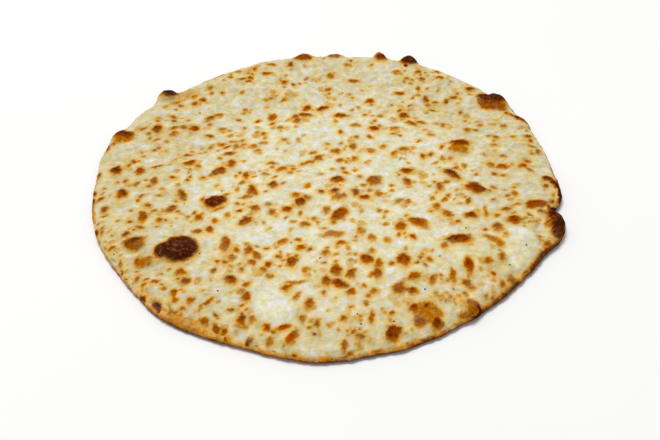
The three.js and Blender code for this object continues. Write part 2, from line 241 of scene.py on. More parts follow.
FRONT_LEFT_SPOTS = [
    Spot(142.8, 217, 9, 11, 0.75), Spot(153.7, 211.4, 7, 4, 0.6), Spot(129.5, 222.8, 6, 4, 0.8),
    Spot(139.7, 227.8, 7, 3.5, 0.75), Spot(159.2, 220.3, 6, 5, 0.6), Spot(126.4, 234, 9, 5, 0.9, 15),
    Spot(132.7, 243.9, 20, 13, 0.64), Spot(132, 240.5, 17, 7, 0.88, 8),
    Spot(144.5, 261.5, 18, 11, 0.52, 20), Spot(178, 248.2, 35, 24, 1, -3), Spot(198.3, 217.7, 8, 8, 0.65),
    Spot(215.5, 221.6, 8, 5, 0.6), Spot(197.5, 231.4, 10, 5, 0.7), Spot(209.2, 229.4, 8, 6, 0.75),
    Spot(227.2, 215.3, 7, 6, 0.45), Spot(217, 209.8, 12, 3, 0.5, 20), Spot(246, 220.8, 14, 8, 0.8, 25),
    Spot(272.5, 212.2, 8, 6, 0.65), Spot(304.5, 224.4, 10, 5, 0.6), Spot(314.7, 219.2, 6, 4, 0.55),
    Spot(326.4, 209.8, 7, 7, 0.7), Spot(282.7, 241.4, 12, 5, 0.6, 20), Spot(298.3, 240.3, 8, 4, 0.6),
    Spot(301.4, 247.3, 9, 5, 0.75), Spot(325.5, 252.8, 8, 6, 0.7), Spot(325.6, 235.6, 8, 4, 0.55),
    Spot(224.8, 244.2, 10, 15, 0.7), Spot(231.9, 257.5, 8, 6, 0.6), Spot(224.8, 261.9, 7, 5, 0.6),
    Spot(231, 266, 7, 5, 0.45), Spot(248.3, 250.5, 9, 8, 0.7), Spot(256, 255.2, 11, 7, 0.7, -30),
    Spot(252.2, 262.2, 10, 6, 0.65), Spot(263.9, 270, 8, 5, 0.7), Spot(270.2, 277, 7, 6, 0.55),
    Spot(292, 261.9, 10, 10, 0.8), Spot(306, 270, 9, 7, 0.45), Spot(326.4, 281, 9, 10, 0.75),
    Spot(180.3, 272.3, 10, 7, 0.7), Spot(185, 281.3, 10, 7, 0.85), Spot(230.3, 279.4, 14, 7, 0.85, -20),
    Spot(241.3, 269.7, 7, 5, 0.6), Spot(174, 293.4, 6, 8, 0.8), Spot(189.7, 301, 7, 8, 0.65),
    Spot(209.2, 302.5, 10, 6, 0.65, 40), Spot(200.6, 308.3, 7, 5, 0.5, 40), Spot(246, 296.6, 9, 9, 0.75),
    Spot(241.3, 291, 9, 6, 0.5), Spot(286.6, 288.8, 9, 6, 0.75), Spot(296, 282.5, 25, 4, 0.5, 8),
    Spot(297.5, 295.8, 10, 5, 0.5, 40), Spot(309.2, 304.4, 10, 10, 0.65), Spot(302.2, 319.2, 7, 6, 0.6),
    Spot(241.3, 320, 10, 10, 0.8), Spot(252.2, 319.2, 8, 7, 0.55), Spot(242, 327, 14, 6, 0.45),
    Spot(267, 328.6, 8, 7, 0.85), Spot(283.4, 327.5, 14, 5, 0.75, 15), Spot(317, 324.7, 6, 6, 0.75),
    Spot(292, 337.2, 16, 9, 0.7, 40), Spot(269.4, 341.9, 11, 7, 0.55, 50),
    Spot(248.3, 342.7, 12, 7, 0.75, 60), Spot(204.5, 323, 11, 9, 0.65), Spot(215.5, 329.4, 10, 10, 0.85),
    Spot(224, 332.5, 7, 7, 0.75), Spot(226.4, 339.5, 5, 6, 0.75), Spot(142, 299, 9, 7, 0.8, -40),
    Spot(156, 306.7, 13, 8, 0.85, -50), Spot(171, 313.8, 12, 8, 0.45), Spot(120, 264.5, 5, 8, 0.6),
    Spot(293.6, 356, 5, 4, 0.9), Spot(253.8, 353.6, 9, 4, 0.85), Spot(162.5, 249.5, 19, 14, 1, 20),
    Spot(126, 244, 9, 6, 0.9), Spot(136.5, 262, 5, 8, 0.8), Spot(96.5, 234, 5, 7, 0.85),
    Spot(101.5, 233, 4, 5, 0.7), Spot(98, 224, 3, 3, 0.6), Spot(105, 242, 3, 3, 0.5),
    Spot(105, 249, 5, 4, 0.6), Spot(126, 281, 3, 4, 0.85),
]
FRONT_RIGHT_SPOTS = [
    Spot(339.3, 214.1, 17, 11, 0.8, 30), Spot(400.7, 225.8, 10, 9, 0.75),
    Spot(417.5, 222.1, 20, 8, 0.75, -20), Spot(447, 213.3, 11, 7, 0.65, -35),
    Spot(470.9, 215, 13, 6, 0.9, 5), Spot(486, 212.5, 4, 13, 0.55), Spot(514.7, 219.7, 14, 8, 0.8),
    Spot(498, 226.9, 9, 8, 0.75), Spot(558.5, 217, 19, 19, 1), Spot(541, 211.7, 7, 5, 0.7),
    Spot(547.4, 223.7, 5, 7, 0.75), Spot(535.5, 222.1, 6, 4, 0.5), Spot(459, 238.8, 26, 9, 0.88, 5),
    Spot(444.6, 246, 8, 7, 0.6), Spot(492.4, 238.8, 18, 6, 0.55, -25), Spot(500.4, 244.4, 8, 8, 0.55),
    Spot(502, 257.2, 6, 9, 0.65), Spot(469.3, 265.2, 8, 17, 0.8), Spot(488.4, 260.4, 6, 9, 0.6),
    Spot(452.6, 275.5, 7, 12, 0.65), Spot(466.9, 282.7, 10, 7, 0.75, -25), Spot(471.7, 288.3, 8, 6, 0.5),
    Spot(512.3, 281, 14, 8, 0.6, -50), Spot(502, 284.3, 7, 6, 0.7), Spot(516.3, 289, 8, 6, 0.8),
    Spot(492.4, 298.6, 6, 7, 0.5), Spot(465.3, 295.4, 6, 9, 0.45), Spot(473, 309, 15, 17, 0.58),
    Spot(463.7, 316.2, 12, 8, 0.6), Spot(414.3, 307.9, 10, 8, 0.88), Spot(426.2, 306.3, 9, 6, 0.88),
    Spot(427, 313.5, 30, 21, 0.5), Spot(419.9, 321.8, 13, 9, 0.8), Spot(437.4, 324, 10, 13, 0.9),
    Spot(392.8, 333.7, 15, 17, 0.85), Spot(360, 336.9, 9, 7, 0.7), Spot(344, 346.5, 6, 13, 0.7),
    Spot(350.5, 354.4, 8, 7, 0.6), Spot(372, 317.8, 6, 11, 0.65), Spot(344, 318.6, 7, 6, 0.75),
    Spot(399, 289, 13, 11, 0.75), Spot(411.9, 290.7, 11, 7, 0.8), Spot(414.3, 276.3, 12, 8, 0.65, 20),
    Spot(433.4, 279.5, 10, 7, 0.65, 45), Spot(374.4, 291.5, 9, 6, 0.6), Spot(350.5, 292.3, 8, 7, 0.75),
    Spot(339.3, 283.5, 20, 8, 0.85, -15), Spot(336.2, 270.7, 11, 10, 0.75),
    Spot(351.3, 273.9, 10, 9, 0.75), Spot(366.5, 258.8, 13, 9, 0.85), Spot(378.4, 263.6, 8, 9, 0.6),
    Spot(377.6, 273.1, 9, 11, 0.75), Spot(372, 250.8, 8, 6, 0.5), Spot(403.9, 259.6, 15, 11, 0.8),
    Spot(341, 242.8, 9, 4, 0.8), Spot(334.6, 234, 18, 7, 0.55), Spot(360.9, 230.9, 9, 8, 0.5),
    Spot(371.2, 237.7, 8, 7, 0.5), Spot(387.2, 239.6, 8, 5, 0.5), Spot(548.2, 244.4, 7, 9, 0.6),
    Spot(545, 258.8, 14, 8, 0.75, 50), Spot(532.3, 273.1, 10, 4, 0.7, 45), Spot(559, 230, 18, 20, 0.9),
    Spot(549, 208.5, 7, 7, 0.86), Spot(547, 215, 7, 9, 0.5), Spot(516, 204.5, 13, 3, 0.5, 8),
    Spot(539.4, 236, 5, 4, 0.45), Spot(543.7, 252, 8, 4, 0.75), Spot(538.7, 266.9, 9, 4, 0.88, 45),
    Spot(530, 275.5, 7, 4, 0.9, 45), Spot(523, 218.7, 6, 3, 0.75), Spot(513.7, 212.5, 8, 2, 0.5),
    Spot(506, 234.7, 6, 6, 0.42), Spot(508.7, 297, 9, 5, 0.8, 40), Spot(480, 309, 4, 12, 0.95, 20),
    Spot(477.5, 316, 7, 6, 0.96), Spot(470, 303, 10, 3.5, 0.75, -20), Spot(470, 317, 7, 5, 0.7),
    Spot(486, 310.5, 7, 3.5, 0.85, 30), Spot(494, 306, 9, 4, 0.75, 30), Spot(501, 300, 6, 4, 0.7, 40),
]
PHOTO_SPOTS = BACK_SPOTS + MIDDLE_SPOTS + FRONT_LEFT_SPOTS + FRONT_RIGHT_SPOTS

# Toasted stretches of the bare edge: direction and spread in degrees, and tone.
TOASTED_EDGE = [
    Hill(at=-7, spread=6, out=0.6),
    Hill(at=-26, spread=4, out=0.45),
    Hill(at=-31, spread=3, out=0.5),
    Hill(at=-36, spread=3, out=0.6),
    Hill(at=-45, spread=2.5, out=0.5),
    Hill(at=-50, spread=4, out=0.35),
    Hill(at=-57.5, spread=3, out=0.3),
    Hill(at=-71, spread=5, out=0.32),
    Hill(at=-92, spread=8, out=0.2),
    Hill(at=-175, spread=5, out=0.3),
    Hill(at=20, spread=4, out=0.5),
    Hill(at=30, spread=4, out=0.55),
    Hill(at=62.5, spread=2.5, out=0.6),
    Hill(at=71.5, spread=2, out=0.6),
    Hill(at=90, spread=8, out=0.35),
    Hill(at=116, spread=9, out=0.8),
    Hill(at=138.5, spread=3, out=0.5),
    Hill(at=157, spread=4, out=0.4),
]
# Stretches where the whole bare edge is golden, not only its brink.
GOLDEN_EDGE = [Hill(at=-126, spread=9, out=0.32)]

# Ground pepper: column and row in the photo.
Grain = namedtuple("Grain", "column row")
PEPPER = [
    Grain(184.5, 204), Grain(221.7, 191), Grain(200, 113), Grain(199.8, 253.3), Grain(217.8, 290.8),
    Grain(291, 242.7), Grain(114, 254.4), Grain(314.7, 334), Grain(320, 258), Grain(439.8, 256),
    Grain(526.2, 244.9), Grain(453.4, 289), Grain(503, 293.5), Grain(357.4, 313.8), Grain(360.9, 324),
    Grain(394, 321.4), Grain(425, 289), Grain(510, 265), Grain(466, 228),
]
CRUMBS = [Grain(124, 276), Grain(127, 281), Grain(121, 273), Grain(131, 287), Grain(116, 266)]

# Heights at which a ray of the view is tried on the pizza, from the top down.
SIGHT_TOP = 18
SIGHT_STEP = 0.1

# Lobes at the border of a spot: radians between the two, and place, size and tone as shares of the spot.
LOBE_SEED = 19
LOBE_APART = (1.8, 3.6)
LOBE_PLACE = (0.65, 0.95)
LOBE_SIZE = (0.36, 0.56)
LOBE_TONE = (0.7, 1)

# Small spots laid by rule, with sizes and distances in millimetres.
# Faint ones lie beside another spot, at a distance given in their own size.
FAINT_SHARE = 0.25
FAINT_SIZE = (1.2, 3)
FAINT_TONE = (0.07, 0.26)
FAINT_AWAY = (0.4, 1.6)
# Darker ones stand clear of all others, many near one of them, in drifts and more on the near side.
SMALL_SIZE = 0.78
SMALL_GROWTH = 1.4
SMALL_TONE = (0.34, 0.84)
SMALL_STRETCH = (1, 1.7)
HOSTED_SHARE = 0.5
HOSTED_AWAY = (0.2, 2)
SPOT_GAP = 0.2
EDGE_ROOM = 4
CROWD_SIZE = 32
CROWD_MEAN = 0.7
CROWD_SWING = 0.8
CROWD_NEAR = 0.25

# How a spot fades from its core outwards: millimetres past its outline, and share of its tone.
SOFT_FADE = ((-1.8, 1), (-1, 0.94), (-0.5, 0.7), (-0.1, 0.42), (0.35, 0.26), (1, 0.16), (2.3, 0.09))
CRISP_FADE = ((-1.2, 1), (-0.5, 0.97), (0, 0.75), (0.5, 0.34), (1.2, 0.16))
CRISP_TONE = 0.93
GLOW_REACH = 4.6
NEAR_REACH = 1.3
# The side of a spot away from the viewer is darker and crisper; the darkening is partly browning and partly
# painted shade of the blister's far slope.
FAR_BROWNING_AND_SHADE = 0.14
FAR_BALANCE = 0.3
FAR_CRISP = 0.4
# Points this near a spot are looked at: in its own size, and in millimetres beyond that.
SEARCH_REACH = 2.2
SEARCH_ROOM = 8
# Least share of a spot's reach that is divided by, and half the width of a full blister.
LEAST_SHARE = 0.1
FULL_BLISTER = 4

# Uneven patches laid on the mesh: size in millimetres, height or tone, and a shift of the pattern.
Lumps = namedtuple("Lumps", "size height shift")
SHIFT_STEPS = (17.3, 9.1, 3.7)
POOL_WAVER = [Lumps(38, 16, 2)]
CRAGS = [Lumps(6, 0.7, 5), Lumps(2.2, 0.5, 6)]
TOAST_PATCHES = [Lumps(14, 0.1, 8), Lumps(5, 0.2, 10)]
UNDER_PATCHES = [Lumps(18, 0.25, 9)]
CHEESE_LUMPS = [Lumps(13, 0.9, 11), Lumps(5.5, 0.55, 12), Lumps(2.3, 0.3, 13)]
FAR_PATCHES = [Lumps(4, 0.3, 14)]
# Waver of the spots' outlines along each axis of the plan.
WAVERS = [[Lumps(5, 1, 15), Lumps(2, 0.7, 16)], [Lumps(5, 1, 17), Lumps(2, 0.7, 18)]]

# Browning of the bubbles' far sides: shares of a bubble's size, millimetres behind its middle, and tone.
BUBBLE_SKIN = (1.05, 1.3)
FAR_START = (0, 2.5)
FAR_TONE = 0.9

# Smooth melted cheese: a pool in the middle, in millimetres, and tongues of it as seen in the photo.
POOL_MIDDLE = -12
POOL_RADIUS = (78, 132)
TONGUES = [Spot(275, 299, 44, 52, 1), Spot(470, 158, 30, 22, 1), Spot(520, 245, 46, 44, 1)]
TONGUE_LIFT = 0.7
TONGUE_CLEAR = 0.9
TONGUE_WET = (0.7, 1.1)
TONGUE_RISE = (0.75, 1.05)
WET_SMOOTHING = 0.7

# Toast of the bare edge: heights and distances in from the edge in millimetres, and tones.
# The low band is toast and painted shadow under the edge together.
LOW_LEVEL = (2, 3.4)
LOW_TOAST_AND_SHADE = 0.35
NOSE_LEVEL = (2.4, 6)
NOSE_TOAST = 0.28
BRINK = (0.8, 3.5)
ZONE_ALL_OVER = 0.22
ZONE_AT_BRINK = 0.78
EDGE_DARKEST = 0.78
UNDER_TOAST = 0.55
LIP_TOAST = (0.3, 2.8)
# Crags of the bare edge: how far in under the cheese and down at the foot they fade, in millimetres,
# and how far they go upwards for each millimetre outwards.
CRAG_FADE = 4
CRAG_FOOT = 1.2
CRAG_UPWARD = 0.7

# The cheese's mesh: a folded sheet whose lip runs out thin, in millimetres.
CHEESE_SEGMENTS = 288
LIP_SINK = 0.3
LIP_TAPER = 5
LIP_SPREAD = 2.2
LIP_LEAST = 0.6
UNDER_STEPS = [0.3, 5, 13, 25, 40]

# The dough's mesh: distances in from the edge in millimetres, and shares of the edge's height.
CRUST_STEPS = 720
COVERED_INSETS = [120, 84, 60, 46, 38, 31, 25, 20, 16, 13, 10.5, 8.5]
BARE_INSETS = [7, 6, 5.2, 4.5, 3.9, 3.3, 2.8, 2.3, 1.8, 1.4, 1, 0.65, 0.35, 0.12, 0]
UNDER_SHARES = [0.85, 0.7, 0.52, 0.35, 0.2, 0.08, 0]
BASE_INSETS = [14, 34, 70, 115]
# Points of the dough, and of the cheese's sheet, that are closer than this are merged.
MERGE_DISTANCE = 1e-4
SHEET_MERGE = 1e-5

# Pepper and crumbs: stretch along each axis and roughness of a grain, as shares of its size.
GRAIN_STRETCH = ((0.8, 1.2), (0.6, 0.9), (0.45, 0.6))
GRAIN_ROUGHNESS = 0.18
PEPPER_SEED = 3
CRUMB_SEED = 4

# Uneven patches in the finish: their size in millimetres, their levels of detail and its roughness.
Patches = namedtuple("Patches", "size detail rough")
BLOTCH = Patches(19, 2, 0.5)
CLOUD = Patches(9, 2, 0.5)
MOTTLE = Patches(4.5, 2, 0.55)
FLECK = Patches(2.4, 2, 0.6)
GRAIN = Patches(1, 2, 0.6)
SWIRL = Patches(6.5, 2, 0.5)
CREASE_SHADE = Patches(3.2, 2, 0.55)
LIVELY = Patches(7, 2, 0.6)
ROSY = Patches(3.7, 1, 0.5)
BUTTERY = Patches(7.5, 2, 0.5)
CRACKLE = Patches(2.2, 3, 0.7)
SPECK = Patches(0.8, 2, 0.5)
SPECK_RELIEF = Patches(0.4, 2, 0.5)
FLOOR_PATCHES = Patches(400, 1, 0.5)
SHARED_PATCHES = [BLOTCH, CLOUD, MOTTLE, FLECK, GRAIN, SWIRL, CREASE_SHADE]

# Tint of plain cheese, from ivory at 0 to straw at 1, and how far each kind of patch moves it.
TINT = 0.46
TINT_SWING = {BLOTCH: 0.5, CLOUD: 0.8, MOTTLE: 1.1, FLECK: 0.8}
WET_TINT = 0.2
# Browning at which a spot turns uneven, firm and skin-coloured.
BROWN_SWING = {FLECK: 0.675, GRAIN: 0.15}
UNEVEN_FROM = (0.02, 0.3)
FIRM_FROM = (0.8, 0.95)
FIRM_CALM = 0.8
SKIN_FROM = (0.01, 0.13)
# Browned skin that is livelier in some places than in others.
LIVELY_HUE = 0.065
LIVELY_RANGE = (0.28, 0.72)
DULLEST = 0.91
LIVELY_SATURATION = 0.18
LIVELY_VALUE = 1.02
VALUE_SWING = 0.45
# Tints between which the whole surface drifts.
DRIFT_RANGE = (0.25, 0.75)
DRIFTS = [
    (ROSY, (0.93, 1.02, 0.96), (1.07, 0.985, 1.04)),
    (BUTTERY, (0.985, 1.01, 1.26), (1.025, 0.985, 0.72)),
]
# Brightness and relief of the surface: painted shade darkens the hollows of the swirl and crease patches,
# the grain makes it uneven, and the wet middle is brighter than the dry ring.
SHADE = 0.955
SHADE_SWING = {CREASE_SHADE: 0.3, GRAIN: 0.3}
WET_SHADE = 0.08
SWIRL_SHADE = 0.25
DRY_SWIRL_SHADE = 0.2
RELIEF_SWING = {MOTTLE: 0.7, GRAIN: 0.25}
BROWN_RELIEF = 0.25
SWIRL_RELIEF = 1.8
# Scorched, crackled skin.
CHAR_FROM = (0.82, 0.94)
CRACKLE_RANGE = (0.47, 0.66)
CRACKLE_COLOUR = 0.85
CRACKLE_RELIEF = 0.5
# Roughness, and each bump's strength and depth in millimetres.
CHEESE_ROUGHNESS = 0.62
WET_SMOOTHNESS = 0.16
DOUGH_ROUGHNESS = 0.72
ROUGHNESS_SWING = 0.2
SPECK_ROUGHNESS = 0.75
FLOOR_ROUGHNESS = 0.7
FLOOR_GLOSS = 0.2
BAKED_BUMP = (0.6, 1.3)
SPECK_BUMP = (0.5, 0.2)

# The stage, in millimetres.
FLOOR_RADIUS = 8000
FLOOR_SEGMENTS = 96
KEY_PLACE = Vector((-900, 1100, 4700))
KEY_SIZE = 2600


def from_srgb(red, green, blue):
    """A colour read from the photo, 0 to 255, as a linear colour."""
    shares = (red / 255, green / 255, blue / 255)
    return tuple(((s + 0.055) / 1.055) ** 2.4 if s > 0.04045 else s / 12.92 for s in shares)


def length(name, description, millimetres):
    return FloatProperty(name=name, description=description, default=millimetres * MM, unit="LENGTH")


def whole(name, description, count):
    return IntProperty(name=name, description=description, default=count)


def colour(name, description, red, green, blue):
    shown = from_srgb(red, green, blue)
    return FloatVectorProperty(
        name=name, description=description, default=shown, size=3, subtype="COLOR", min=0, max=1
    )


class DoughSettings(bpy.types.PropertyGroup):
    """Sizes and colours of the baked dough."""

    radius: length("Radius", "Mean reach of the baked round", 164)
    bed: length("Bed", "Dough under the middle of the cheese", 4)
    rim_rise: length("Rim rise", "How far the puffed border stands above the bed", 3)
    rim_width: length("Rim width", "Border, from the edge in to where the bed is flat", 42)
    crown_inset: length("Crown inset", "From the edge in to the highest line of the border", 15)
    crag: length("Crag", "Height of the roughness of the bare edge", 0.9)
    pale: colour("Pale", "Least baked dough", 222, 194, 128)
    tan: colour("Tan", "Baked dough", 208, 158, 78)
    golden: colour("Golden", "Well baked dough", 190, 128, 52)
    brown: colour("Brown", "Toasted dough", 130, 70, 26)
    burnt: colour("Burnt", "Scorched bubbles", 60, 30, 20)


class CheeseSettings(bpy.types.PropertyGroup):
    """Sizes and colours of the melted cheese."""

    depth: length("Depth", "Cheese over the flat bed", 3)
    blister: length("Blister", "Height of the largest browned blisters", 0.6)
    lumps: length("Lumps", "Height of the lumps on the dry ring", 1.3)
    small_spots: whole("Small spots", "Browned spots laid by rule", 1000)
    seed: whole("Seed", "Draw of the small spots", 7)
    ivory: colour("Ivory", "Smooth melted cheese", 223, 223, 206)
    cream: colour("Cream", "Drier cheese", 216, 204, 161)
    straw: colour("Straw", "Hollows where the cheese is thin", 206, 178, 113)
    glow: colour("Glow", "Cheese beside a browned spot", 219, 196, 137)
    yellow: colour("Yellow", "First browning", 211, 175, 105)
    gold: colour("Gold", "Fringe of a browned spot", 195, 147, 67)
    orange: colour("Orange", "Body of a browned spot", 179, 115, 31)
    brown: colour("Brown", "Core of a browned spot", 163, 88, 11)
    dark: colour("Dark", "Darkest core", 130, 66, 12)
    burnt: colour("Burnt", "Scorched skin", 70, 32, 14)
    crackle: colour("Crackle", "Raised cracks in scorched skin", 138, 78, 44)


class SpeckSettings(bpy.types.PropertyGroup):
    """Sizes and colours of the pepper and crumbs."""

    pepper_size: length("Pepper size", "Mean size of a grain of pepper", 1.5)
    pepper_dark: colour("Pepper dark", "Darkest ground pepper", 48, 42, 34)
    pepper_light: colour("Pepper light", "Lightest ground pepper", 92, 78, 56)
    crumb_size: length("Crumb size", "Mean size of a crumb", 1.7)
    crumb_pale: colour("Crumb pale", "Lightest crumb", 226, 206, 170)
    crumb_brown: colour("Crumb brown", "Darkest crumb", 200, 160, 108)


class StageSettings(bpy.types.PropertyGroup):
    """Floor and light."""

    floor: colour("Floor", "Plain studio floor", 253, 253, 252)
    floor_shade: colour("Floor shade", "Faintly darker patches of the floor", 247, 247, 246)
    ambient: FloatProperty(name="Ambient", description="Strength of the light all round", default=0.42)
    key: FloatProperty(name="Key", description="Power of the softbox", default=165, unit="POWER")


class PizzaSettings(bpy.types.PropertyGroup):
    """Everything a user would change."""

    dough: PointerProperty(type=DoughSettings)
    cheese: PointerProperty(type=CheeseSettings)
    specks: PointerProperty(type=SpeckSettings)
    stage: PointerProperty(type=StageSettings)


# Shape


def smooth_step(start, end, value):
    t = np.clip((value - start) / (end - start), 0, 1)
    return t * t * (3 - 2 * t)


def hills(rows, angle):
    """Sum of bell-shaped hills round the outline, in directions given in radians."""
    total = np.zeros_like(angle)
    for hill in rows:
        off = (np.degrees(angle) - hill.at + 540) % 360 - 180
        total = total + hill.out * np.exp(-0.5 * (off / hill.spread) ** 2)
    return total


def ripples(rows, angle):
    """Sum of ripples that go round the outline a whole number of times."""
    return sum(row.out * np.sin(row.times * angle + row.phase) for row in rows)


def swell_waves():
    """Heading, length and phase of each slow wave, from one repeatable draw."""
    multiplier = 16807
    modulus = 2147483647
    state = SWELL_SEED
    drawn = []
    for _ in range(3 * SWELLS):
        state = state * multiplier % modulus
        drawn.append(state / modulus)
    for heading, stretch, phase in zip(drawn[0::3], drawn[1::3], drawn[2::3]):
        reach = SWELL_SHORTEST + (SWELL_LONGEST - SWELL_SHORTEST) * stretch
        yield heading * math.tau, reach, phase * math.tau


def swell(x, y):
    total = np.zeros_like(x)
    for heading, reach, phase in swell_waves():
        run = x * math.cos(heading) + y * math.sin(heading)
        total += SWELL_HEIGHT * np.sin(run / reach * math.tau + phase)
    return total


def lumpy(points, rows):
    """Sum of smooth noises, each with lumps of a row's size and height."""
    total = np.zeros(len(points))
    for row in rows:
        start = Vector([row.shift * step for step in SHIFT_STEPS])
        drawn = np.array([noise.noise(Vector(point) / row.size + start) for point in points])
        total += row.height * drawn
    return total


class Form:
    """The pizza's shape in millimetres, from the settings and the lists above."""

    def __init__(self, settings):
        self.radius = settings.dough.radius / MM
        self.bed = settings.dough.bed / MM
        self.rise = settings.dough.rim_rise / MM
        self.rim_width = settings.dough.rim_width / MM
        self.crown_inset = settings.dough.crown_inset / MM
        self.depth = settings.cheese.depth / MM

    def dough_reach(self, angle):
        return self.radius + hills(BULGES, angle) + ripples(DOUGH_RIPPLES, angle)

    def cheese_reach(self, angle):
        bare = CHEESE_INSET + hills(BARE_PATCHES, angle) + ripples(CHEESE_RIPPLES, angle)
        return self.dough_reach(angle) - np.maximum(LEAST_INSET, bare)

    def lip_reach(self, angle):
        """Where the thin lip of the cheese ends, a little further out than its full thickness."""
        return np.minimum(self.cheese_reach(angle) + LIP_SPREAD, self.dough_reach(angle) - LIP_LEAST)

    def rim_rise(self, angle):
        return self.rise * (1 + BACK_RISE * np.sin(angle) + ripples(RIM_LUMPS, angle))

    def dough_top(self, angle, inset):
        """Top of the dough, in a direction and at a distance in from the edge."""
        rise = self.rim_rise(angle)
        crown = self.bed + rise
        across = np.clip(1 - inset / NOSE_DEPTH, 0, 1)
        nose = NOSE_HEIGHT + (crown - NOSE_HEIGHT) * np.sqrt(1 - across * across)
        border = crown - rise * smooth_step(self.crown_inset, self.rim_width, inset)
        return np.where(inset < NOSE_DEPTH, nose, border)

    def puff_lift(self, x, y):
        lift = np.zeros_like(x)
        for puff in PUFFS:
            c = math.cos(math.radians(puff.turn))
            s = math.sin(math.radians(puff.turn))
            along = ((x - puff.x) * c + (y - puff.y) * s) / (puff.along / 2)
            across = ((y - puff.y) * c - (x - puff.x) * s) / (puff.across / 2)
            room = np.clip(1 - along * along - across * across, 0, None)
            lift = np.maximum(lift, puff.height * room**PUFF_FULLNESS)
        return lift

    def cheese_depth(self, angle, radius):
        from_lip = self.cheese_reach(angle) - radius
        inset = self.dough_reach(angle) - radius
        on_rim = EDGE_CHEESE + (RIM_CHEESE - EDGE_CHEESE) * smooth_step(0, LIP_WIDTH, from_lip)
        fuller = (self.depth - RIM_CHEESE) * smooth_step(self.crown_inset, self.rim_width, inset)
        free = smooth_step(0, 2 * LIP_WIDTH, from_lip)
        x = radius * np.cos(angle)
        y = radius * np.sin(angle)
        depth = np.maximum(LEAST_DEPTH, on_rim + fuller + free * swell(x, y))
        return depth + free * self.puff_lift(x, y)

    def from_bubble(self, bubble, points):
        """A bubble's middle, places as seen from it, and how far they lie as a share of its size."""
        angle = math.radians(bubble.at)
        outward = np.array((math.cos(angle), math.sin(angle), 0))
        sideways = np.array((-math.sin(angle), math.cos(angle), 0))
        middle = outward * (self.dough_reach(np.array(angle)) - bubble.inset)
        middle[2] = self.bed
        local = points - middle
        spread = np.stack((
            local @ outward / (bubble.across / 2),
            local @ sideways / (bubble.along / 2),
            local[:, 2] / bubble.height,
        ))
        return middle, local, np.maximum(np.linalg.norm(spread, axis=0), BUBBLE_CORE)

    def inflate(self, points):
        """Pushes points out of the bubbles along the edge, upwards and outwards only."""
        for bubble in EDGE_BUBBLES:
            middle, local, depth = self.from_bubble(bubble, points)
            pushed = (1 + depth**BUBBLE_BLEND) ** (1 / BUBBLE_BLEND) / depth
            out = middle + local * pushed[:, None]
            out[:, 2] = np.maximum(out[:, 2], points[:, 2])
            points = out
        return points

    def dough_points(self, angle, inset):
        radius = self.dough_reach(angle) - inset
        plan = (radius * np.cos(angle), radius * np.sin(angle), self.dough_top(angle, inset))
        return self.inflate(np.stack(plan, axis=1))

    def cheese_points(self, angle, radius):
        points = self.dough_points(angle, self.dough_reach(angle) - radius)
        points[:, 2] += LAYER_GAP + self.cheese_depth(angle, radius)
        return points

    def height_over(self, x, y):
        """Height of the pizza over a place on the floor, and zero beside it."""
        angle = np.arctan2(y, x)
        radius = np.hypot(x, y)
        inset = self.dough_reach(angle) - radius
        height = self.dough_top(angle, np.maximum(inset, 0)) + LAYER_GAP
        height = height + self.cheese_depth(angle, radius)
        for bubble in EDGE_BUBBLES:
            turn = math.radians(bubble.at)
            distance = self.dough_reach(np.array(turn)) - bubble.inset
            out = (x * math.cos(turn) + y * math.sin(turn) - distance) / (bubble.across / 2)
            side = (y * math.cos(turn) - x * math.sin(turn)) / (bubble.along / 2)
            room = np.clip(1 - out * out - side * side, 0, None)
            height = np.maximum(height, (self.bed + bubble.height * np.sqrt(room)) * (room > 0))
        return np.where(inset > 0, height, 0)


# View


def view_axes():
    """Right, up and forward of the camera."""
    forward = (AIM - EYE).normalized()
    level = forward.cross(Vector((0, 0, 1))).normalized()
    upright = level.cross(forward)
    turn = math.radians(ROLL)
    right = level * math.cos(turn) - upright * math.sin(turn)
    up = level * math.sin(turn) + upright * math.cos(turn)
    return right, up, forward


def sight_ray(column, row):
    """Direction in which a column and row of the photo lie."""
    right, up, forward = view_axes()
    aside = (column - PHOTO_WIDTH / 2) / FOCAL_PIXELS
    above = (PHOTO_HEIGHT / 2 - row) / FOCAL_PIXELS
    return forward + right * aside + up * above


def seen_at(form, column, row):
    """The place on the pizza that shows at a column and row of the photo."""
    ray = sight_ray(column, row)
    levels = np.arange(SIGHT_TOP, -SIGHT_STEP / 2, -SIGHT_STEP)
    reach = (levels - EYE.z) / ray.z
    x = EYE.x + ray.x * reach
    y = EYE.y + ray.y * reach
    met = np.nonzero(form.height_over(x, y) >= levels)[0]
    first = met[0] if len(met) else len(levels) - 1
    return np.array((x[first], y[first], levels[first]))


# Browning

Placed = namedtuple("Placed", "middle along across half_length half_width tone plan")


def as_seen(form, spots):
    """Spots of the photo, each on the pizza with its axes as seen in the view."""
    right, up, forward = view_axes()
    for spot in spots:
        middle = seen_at(form, spot.column, spot.row)
        pixel = (Vector(middle) - EYE).dot(forward) / FOCAL_PIXELS
        lean = math.radians(spot.lean)
        along = np.array(right * math.cos(lean) + up * math.sin(lean))
        across = np.array(up * math.cos(lean) - right * math.sin(lean))
        half = (spot.length / 2 * pixel, spot.width / 2 * pixel)
        yield Placed(middle, along, across, *half, spot.tone, False)


def share_from(spot, points):
    """How far points lie from a spot's middle, as a share of its reach to its outline."""
    local = points - spot.middle
    return np.hypot(local @ spot.along / spot.half_length, local @ spot.across / spot.half_width)


def ragged(spots):
    """Each soft spot with two smaller lobes at its border, so that no outline is a plain oval."""
    draw = np.random.default_rng(LOBE_SEED)
    for spot in spots:
        yield spot
        if spot.tone > CRISP_TONE:
            continue
        turn = draw.uniform(0, math.tau)
        for side in (turn, turn + draw.uniform(*LOBE_APART)):
            off = draw.uniform(*LOBE_PLACE)
            aside = spot.along * spot.half_length * math.cos(side) * off
            above = spot.across * spot.half_width * math.sin(side) * off
            size = draw.uniform(*LOBE_SIZE)
            tone = spot.tone * draw.uniform(*LOBE_TONE)
            half = (spot.half_length * size, spot.half_width * size)
            yield Placed(spot.middle + aside + above, spot.along, spot.across, *half, tone, spot.plan)


